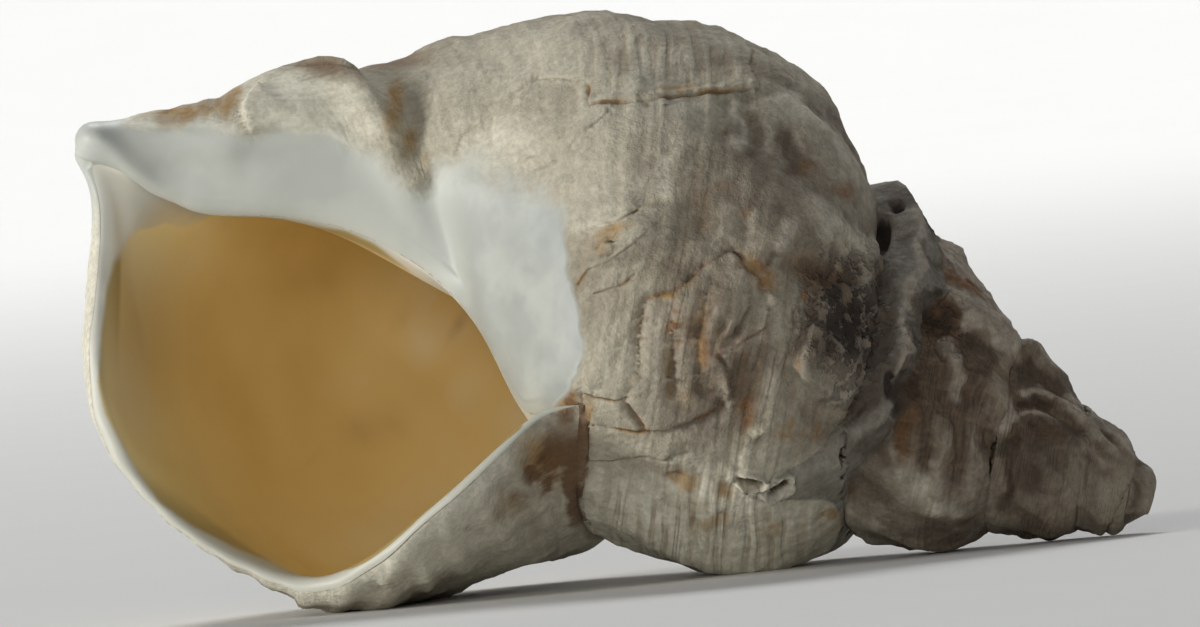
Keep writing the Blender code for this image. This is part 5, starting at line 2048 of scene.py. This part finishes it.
@dataclass(frozen=True)
class ShellFinish:
    """Colours and roughness of the weathered shell, with painted light and shade among the colours."""

    chalk: Colour = (0.46, 0.42, 0.31)
    chalk_pale: Colour = (0.60, 0.56, 0.44)
    chalk_grey: Colour = (0.335, 0.29, 0.215)
    chalk_tan: Colour = (0.36, 0.26, 0.16)
    chalk_cream: Colour = (0.90, 0.86, 0.70)
    chalk_lilac: Colour = (0.33, 0.29, 0.27)
    # These dark brown colours serve for weathering and for painted shade.
    patina_and_shade_dark: Colour = (0.022, 0.015, 0.010)
    patina_and_shade: Colour = (0.090, 0.056, 0.034)
    patina_and_shade_pale: Colour = (0.215, 0.158, 0.107)
    # The next two colours paint highlight on crests and shade in crevices.
    painted_ridge_highlight: Colour = (0.46, 0.40, 0.32)
    painted_crevice_shade: Colour = (0.17, 0.105, 0.055)
    glaze_grey: Colour = (0.42, 0.445, 0.42)
    glaze: Colour = (0.66, 0.68, 0.62)
    glaze_shade: Colour = (0.55, 0.58, 0.53)
    # The amber colours are brighter than the shell's own amber: they paint in light that shines through the
    # thin wall.
    amber: Colour = (0.93, 0.71, 0.30)
    amber_pale: Colour = (0.97, 0.83, 0.52)
    amber_deep: Colour = (0.78, 0.55, 0.20)
    amber_brown: Colour = (0.50, 0.32, 0.12)
    # amber_rim darkens the amber just inside the rim: painted shade.
    amber_rim: Colour = (0.47, 0.35, 0.14)
    canal_tan: Colour = (0.62, 0.53, 0.38)
    cream: Colour = (0.70, 0.69, 0.59)
    bright_cream: Colour = (0.90, 0.88, 0.78)
    ochre: Colour = (0.44, 0.27, 0.10)
    orange: Colour = (0.24, 0.098, 0.026)
    umber: Colour = (0.165, 0.080, 0.028)
    # This black colour serves for grime and for painted shadow.
    soot_and_shadow: Colour = (0.035, 0.026, 0.02)
    crust: Colour = (0.17, 0.16, 0.13)
    crust_pale: Colour = (0.33, 0.31, 0.26)
    chalk_bump: float = 0.0002
    glaze_bump: float = 0.00008
    refraction: float = 1.5

    def material(self) -> bpy.types.Material:
        """The shell's material.

        Returns:
            One material that reads the values on the mesh to tell chalk, glaze and amber apart.
        """
        bench = NodeBench("weathered_shell")
        growth = bench.fed(bench.add("ShaderNodeUVMap", uv_map="growth"), 0)
        place = bench.fed(bench.add("ShaderNodeTexCoord"), "Object")
        hollow = bench.math("GREATER_THAN", bench.value("part"), Part.HOLLOW.value - 0.5)
        chalk, chalk_height = self.chalky(bench, growth, place)
        glazed, glaze_mask = self.glazed(bench, place)
        colour = bench.coated(chalk, ((glaze_mask, glazed), (hollow, self.inner(bench, place))))
        smooth = glaze_mask.over(hollow)
        rough = smooth * -0.4 + 0.8 + bench.noise(place, 900, 3) * 0.12
        normal = bench.bump(chalk_height * (1 - smooth).held(), self.chalk_bump)
        soft = bench.noise(place, 230, 2) * smooth
        for name, source in (("Base Color", colour), ("Roughness", rough), ("IOR", self.refraction),
                             ("Normal", bench.bump(soft, self.glaze_bump, 0.6, normal))):
            bench.feed(bench.surface.inputs[name], source)
        return bench.material

    def ribbed(self, bench: NodeBench, growth: Signal) -> Signal:
        """Fine spiral ribs: even flutes with uneven ones among them.

        Args:
            bench: the material's nodes.
            growth: the map along the growth and across it.

        Returns:
            1 on a rib and 0 between two.
        """
        wide = bench.noise(bench.stretch(growth, 7, 46), 1, 2, 0.5, 0.3)
        narrow = bench.noise(bench.stretch(growth, 11, 115), 1, 2, 0.5, 0.4)
        uneven = bench.span(wide, 0.36, 0.64, 0, 0.5) + bench.span(narrow, 0.36, 0.64, 0, 0.5)
        across = bench.fed(bench.add("ShaderNodeSeparateXYZ"), 1, growth)
        waves = across * 495 + bench.noise(bench.stretch(growth, 5, 30), 1, 2) * 16
        return bench.span(bench.math("SINE", waves), -1, 1) * 0.62 + uneven * 0.38

    def chalky(self, bench: NodeBench, growth: Signal, place: Signal) -> tuple[Signal, Signal]:
        """Colour and fine height of the chalky outside, with painted highlight and shade that follow its
        relief.

        Args:
            bench: the material's nodes.
            growth: the map along the growth and across it.
            place: the place on the object.

        Returns:
            The colour and the height.
        """
        span, mix = bench.span, bench.mix
        names = ("relief", "tone", "patina_and_shade", "cream", "fine", "orange", "ochre", "umber", "pitted", "inward")
        relief, tone, patina_and_shade, pale, fine, orange, ochre, umber, pitted, inward = map(bench.value, names)
        clouds = bench.noise(place, 90, 6, 0.62)
        mottled = bench.noise(place, 260, 5, 0.65)
        speckle = bench.noise(place, 750, 4, 0.7)
        grain = bench.noise(place, 1300, 5, 0.65)
        sand = bench.noise(place, 1900, 3, 0.7)
        bands = bench.noise(bench.stretch(growth, 60, 9), 1, 5, 0.6)
        scaled = bench.noise(bench.stretch(growth, 22, 34), 1, 6, 0.68)
        hair = bench.noise(bench.stretch(growth, 30, 260), 1, 3, 0.6)
        rows = bench.noise(bench.stretch(growth, 35, 62), 1, 4, 0.62)
        streaks = bench.noise(bench.stretch(growth, 90, 20), 1, 5, 0.65)
        striae = bench.noise(bench.stretch(growth, 420, 40), 1, 4, 0.62)
        # stands follows the relief and the painted light and shade of tone.
        stands = relief + (mottled - 0.5) * 0.9 + tone * 0.7
        cream = (pale * span(mottled, 0.3, 0.5, 0.75, 1.05)).held()
        plain = (1 - cream * 0.8).held()
        rim = span(inward, -4, -0.6)
        rib = self.ribbed(bench, growth)
        fine = fine * span(mottled, 0.3, 0.55, 0.5, 1)
        groove = fine * span(rib, 0.45, 0.12, 0, 0.75)
        stain = orange * span(mottled, 0.35, 0.6, 0.35, 1.2)
        rust = (plain * span(rows, 0.64, 0.76, 0, 0.5)).over(stain)
        over = span(pale, 0.5, 1.3, 0, 0.8).over(rim * span(clouds, 0.3, 0.55, 0.45, 0.9))
        over = over * (1 - ochre.over(orange)).held() * (1 - groove).held()
        many = span(bench.noise(place, 60, 2), 0.6, 0.8, 0, 0.5).over(pitted)
        pits = span(bench.cells(place, 900), 0.3, 0.12) * many
        worm = pitted * span(bench.noise(place, 640, 4, 0.6), 0.54, 0.44)
        # Darker in hollows and paler on crests: the shell's weathering tint with painted shade and
        # highlight.
        weathering_and_relief_light = bench.coated(mix(span(stands, -0.3, 0.1), self.patina_and_shade_dark, self.patina_and_shade),
                           ((span(stands, 0.05, 0.55), self.patina_and_shade_pale),))
        colour = bench.coated(mix(span(clouds, 0.38, 0.62), self.chalk_grey, self.chalk), (
            (bench.value("grey") * 0.85, self.chalk_lilac),
            (patina_and_shade * span(clouds, 0.66, 0.4, 0.55, 1.1), weathering_and_relief_light),
            (cream, self.chalk_cream),
            (rim * span(clouds, 0.3, 0.6, 0.5, 1), self.cream),
            (plain * span(bands, 0.5, 0.72, 0, 0.35), self.chalk_tan),
            (fine * span(rib, 0.45, 0.85, 0, 0.75), mix(patina_and_shade, self.chalk_pale, self.chalk_grey)),
            (groove, self.chalk_tan),
            (span(scaled, 0.5, 0.68, 0, 0.45) * (1 - patina_and_shade).held(), self.chalk_pale),
            # Painted highlight on raised relief, then painted shade: tan on low ground and umber in deep
            # recesses.
            (span(relief, 0.05, 0.4, 0, 0.5) * (1.1 - patina_and_shade).held(), self.chalk_pale),
            (plain * span(stands, 0, -0.4, 0, 0.6), self.chalk_tan),
            (plain * span(relief, -0.3, -0.8, 0, 0.7), self.umber),
            (span(rust, 0.12, 0.7, 0, 0.85), mix(span(patina_and_shade, 0.2, 0.7), self.ochre, self.orange)),
            (span(ochre * span(mottled, 0.35, 0.6, 0.7, 1.1), 0.1, 0.9, 0, 0.9), self.ochre),
            (span(umber * span(streaks, 0.35, 0.62, 0.7, 1.2), 0.15, 0.8, 0, 0.9), self.umber),
            (over, self.chalk_cream),
            (span(bench.value("crust"), 0.2, 0.9) * 0.85,
             mix(span(mottled, 0.4, 0.6), self.crust, self.crust_pale)),
            # Painted shade on low ground and where tone is dark; painted highlight where it is pale.
            (patina_and_shade * span(stands, 0.25, -0.1, 0.1, 0.5), self.patina_and_shade),
            (span(tone * span(mottled, 0.3, 0.6, -1.2, -0.6), 0.08, 0.9, 0, 0.85),
             mix(patina_and_shade, self.painted_crevice_shade, self.patina_and_shade_dark)),
            (span(tone * span(mottled, 0.3, 0.6, 0.6, 1.1), 0.05, 0.7, 0, 0.75),
             mix(patina_and_shade, self.chalk_cream, self.painted_ridge_highlight)),
        ))
        colour = mix(1, colour, span(sand, 0.32, 0.68, 0.87, 1.11), "MULTIPLY")
        colour = bench.coated(colour, (
            (pits * 0.6, self.umber),
            (worm * 0.85, self.patina_and_shade_dark),
            # Black grime in pits and cracks, and painted shadow beside the keel and in the holes.
            (span(bench.value("dark"), 0.2, 0.9), self.soot_and_shadow),
            (plain * span(speckle, 0.62, 0.3, 0, 0.3), mix(patina_and_shade, self.chalk_grey, self.patina_and_shade)),
        ))
        rough = grain * 1.5 + scaled + mottled * 0.8
        height = fine * (rib * 1.5 + hair * 0.3) + striae * (plain * 0.1)
        height = height + rough * span(plain, 0.2, 1, 0.15, 1) - pits * plain * 1.2 - worm * 1.8
        return colour, height

    def glazed(self, bench: NodeBench, place: Signal) -> tuple[Signal, Signal]:
        """The smooth callus.

        Args:
            bench: the material's nodes.
            place: the place on the object.

        Returns:
            Its colour, and 1 where it lies.
        """
        ragged = (bench.noise(place, 420, 3) - 0.5) * 1.4
        mask = bench.span(bench.value("glaze") + ragged, -0.9, 0.9)
        clouds = bench.noise(place, 130, 3, 0.5)
        # The callus greys in its patches and, as painted shade, towards the right.
        blotch = bench.value("mottle_and_shade") * bench.span(bench.noise(place, 240, 3), 0.35, 0.65, 0.75, 1.15)
        return bench.coated(self.glaze, (
            (bench.span(clouds, 0.42, 0.62, 0, 0.7), self.glaze_shade),
            (bench.span(blotch, 0.1, 1.1, 0, 0.95), self.glaze_grey),
        )), mask

    def inner(self, bench: NodeBench, place: Signal) -> Signal:
        """Colour of the hollow: white or cream at the edge, then amber.

        Args:
            bench: the material's nodes.
            place: the place on the object.

        Returns:
            The colour.
        """
        pale, depth = bench.value("pale_inside"), bench.value("amber")
        clouds = bench.noise(place, 42, 3, 0.5)
        amber = bench.coated(self.amber, (
            (bench.span(clouds, 0.45, 0.7), self.amber_pale),
            (bench.span(clouds, 0.5, 0.3, 0, 0.6), self.amber_deep),
            (bench.span(pale, 0.1, 1, 0, 0.8), self.amber_pale),
            (bench.span(bench.value("deep_inside"), 0.1, 1, 0, 0.75), self.amber_brown),
            # Painted shade: darker amber just inside the rim.
            (bench.span(bench.value("inward"), 7, 1.5), self.amber_rim),
        ))
        ragged = (bench.noise(place, 300, 3) - 0.5) * 0.8
        return bench.coated(self.cream, (
            (bench.value("column"), self.glaze),
            (bench.span(depth, -1.5, 0) * bench.value("soft_edge"), self.canal_tan),
            (bench.span(pale, 0, 0.8), self.bright_cream),
            (bench.span(depth + ragged, -0.6, 0.6), amber),
        ))


@dataclass(frozen=True)
class Lamp:
    """A round area light: its place and target in metres, its size, its power and its colour."""

    name: str
    place: Colour
    target: Colour
    size: float
    power: float
    colour: Colour = (1, 1, 1)

    def add(self) -> bpy.types.Object:
        """Light the scene with it.

        Returns:
            The lamp's object.
        """
        bpy.ops.object.light_add(type="AREA", location=self.place)
        lamp = bpy.context.object
        lamp.name = self.name
        lamp.data.shape = "DISK"
        lamp.data.size, lamp.data.energy, lamp.data.color = self.size, self.power, self.colour
        way = Vector(self.target) - Vector(self.place)
        lamp.rotation_euler = way.to_track_quat("-Z", "Y").to_euler()
        return lamp


@dataclass
class Studio:
    """Pale floor that curves up into a backdrop, soft light, and the camera."""

    rest: Rest
    view: PhotoView
    pale: Colour = (0.86, 0.855, 0.84)
    half_width: float = 5.5
    forward: float = 1
    flat: float = 2.8
    bend: float = 2.2
    sky: Colour = (0.9, 0.95, 1)
    sky_strength: float = 0.125
    distance: float = 1.5
    sensor: float = 36
    clip_end: float = 20
    image: tuple = (1200, 627)
    lamps: tuple = (
        Lamp("key_light", (-1.5, -0.55, 0.32), (0, 0, 0.02), 0.45, 15.5, (1, 0.985, 0.95)),
        Lamp("front_light", (-0.3, -1.5, 0.3), (0, 0, 0.02), 0.5, 3.8, (1, 0.985, 0.96)),
        Lamp("back_light", (0.1, 2.6, 3.2), (0.1, 3.2, 0), 2, 105),
    )

    def floor(self) -> bpy.types.Object:
        """The floor and backdrop, one sheet bent up far behind the shell.

        Returns:
            The sheet's object.
        """
        bpy.ops.object.select_all(action="DESELECT")
        bpy.ops.mesh.primitive_grid_add(x_subdivisions=2, y_subdivisions=48, size=2)
        sheet = bpy.context.object
        sheet.name = "studio_floor"
        quarter = 0.5 * pi
        for vertex in sheet.data.vertices:
            run = self.half_width * vertex.co.y + self.forward
            past = max(run - self.flat, 0)
            turn = min(past / self.bend, quarter)
            vertex.co.x *= self.half_width
            vertex.co.y = min(run, self.flat) + self.bend * np.sin(turn)
            vertex.co.z = self.bend * (1 - np.cos(turn)) + max(past - self.bend * quarter, 0)
        bpy.ops.object.shade_smooth()
        sheet.data.materials.append(self.paper())
        return sheet

    def paper(self) -> bpy.types.Material:
        """The floor's material, a matt paper.

        Returns:
            The material.
        """
        bench = NodeBench("studio_paper")
        place = bench.fed(bench.add("ShaderNodeTexCoord"), "Object")
        shade = bench.mix(bench.noise(place, 30), self.pale, tuple(0.97 * tone for tone in self.pale))
        bench.feed(bench.surface.inputs["Base Color"], shade)
        bench.feed(bench.surface.inputs["Roughness"], 0.9)
        bench.feed(bench.surface.inputs["Normal"], bench.bump(bench.noise(place, 1500), 0.00002))
        return bench.material

    def light(self) -> None:
        """A large key from the upper left front, two weaker lamps, and a weak sky."""
        for lamp in self.lamps:
            lamp.add()
        world = bpy.data.worlds.new("studio_sky")
        bpy.context.scene.world = world
        world.use_nodes = True
        sky = world.node_tree.nodes["Background"]
        sky.inputs["Color"].default_value = (*self.sky, 1)
        sky.inputs["Strength"].default_value = self.sky_strength

    def camera(self) -> bpy.types.Object:
        """The camera, which looks at the shell as the photograph does.

        Returns:
            The camera's object.
        """
        height, u = self.view.spot(0.5 * self.image[0], 0.5 * self.image[1])
        middle = Vector(self.rest.lay(np.array([height, u, 0])))
        right = self.rest.direction(-self.view.along, self.view.across, 0).normalized()
        up = self.rest.direction(self.view.across, self.view.along, 0).normalized()
        toward = self.rest.direction(0, 0, 1)
        bpy.ops.object.camera_add(location=(0, 0, 0))
        camera = bpy.context.object
        camera.name = "photo_camera"
        place = middle + toward * self.distance
        camera.matrix_world = Matrix.Translation(place) @ Matrix((right, up, toward)).transposed().to_4x4()
        camera.data.sensor_width = self.sensor
        camera.data.lens = self.sensor * self.distance * self.view.pixels_per_mm / (self.image[0] * MM)
        camera.data.clip_end = self.clip_end
        bpy.context.scene.camera = camera
        return camera


def report(piece: bpy.types.Object) -> None:
    """Log a piece's name and how fine its mesh is."""
    faces = piece.data.polygons
    triangles = sum(len(face.vertices) - 2 for face in faces)
    LOG.info("%s: %d faces, %d triangles", piece.name, len(faces), triangles)


def main() -> None:
    """Build the shell and its studio, and report each piece."""
    logging.basicConfig(level=logging.INFO, format="%(message)s")
    growth = Growth()
    form = ShellForm(growth, WhorlForm(growth), ColumnForm(growth))
    rest, view = Rest(), PhotoView()
    shell = ShellPiece(form, KeeledTube(view), Relief(WearMarks()), rest, view).build()
    shell.data.materials.clear()
    shell.data.materials.append(ShellFinish().material())
    report(shell)
    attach(shell, "root")
    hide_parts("shell")
    studio = Studio(rest, view)
    report(studio.floor())
    studio.light()
    LOG.info("%s: lens %.0f mm", studio.camera().name, bpy.context.scene.camera.data.lens)
    bpy.context.scene.view_settings.view_transform = "Standard"


if __name__ == "__main__":
    main()
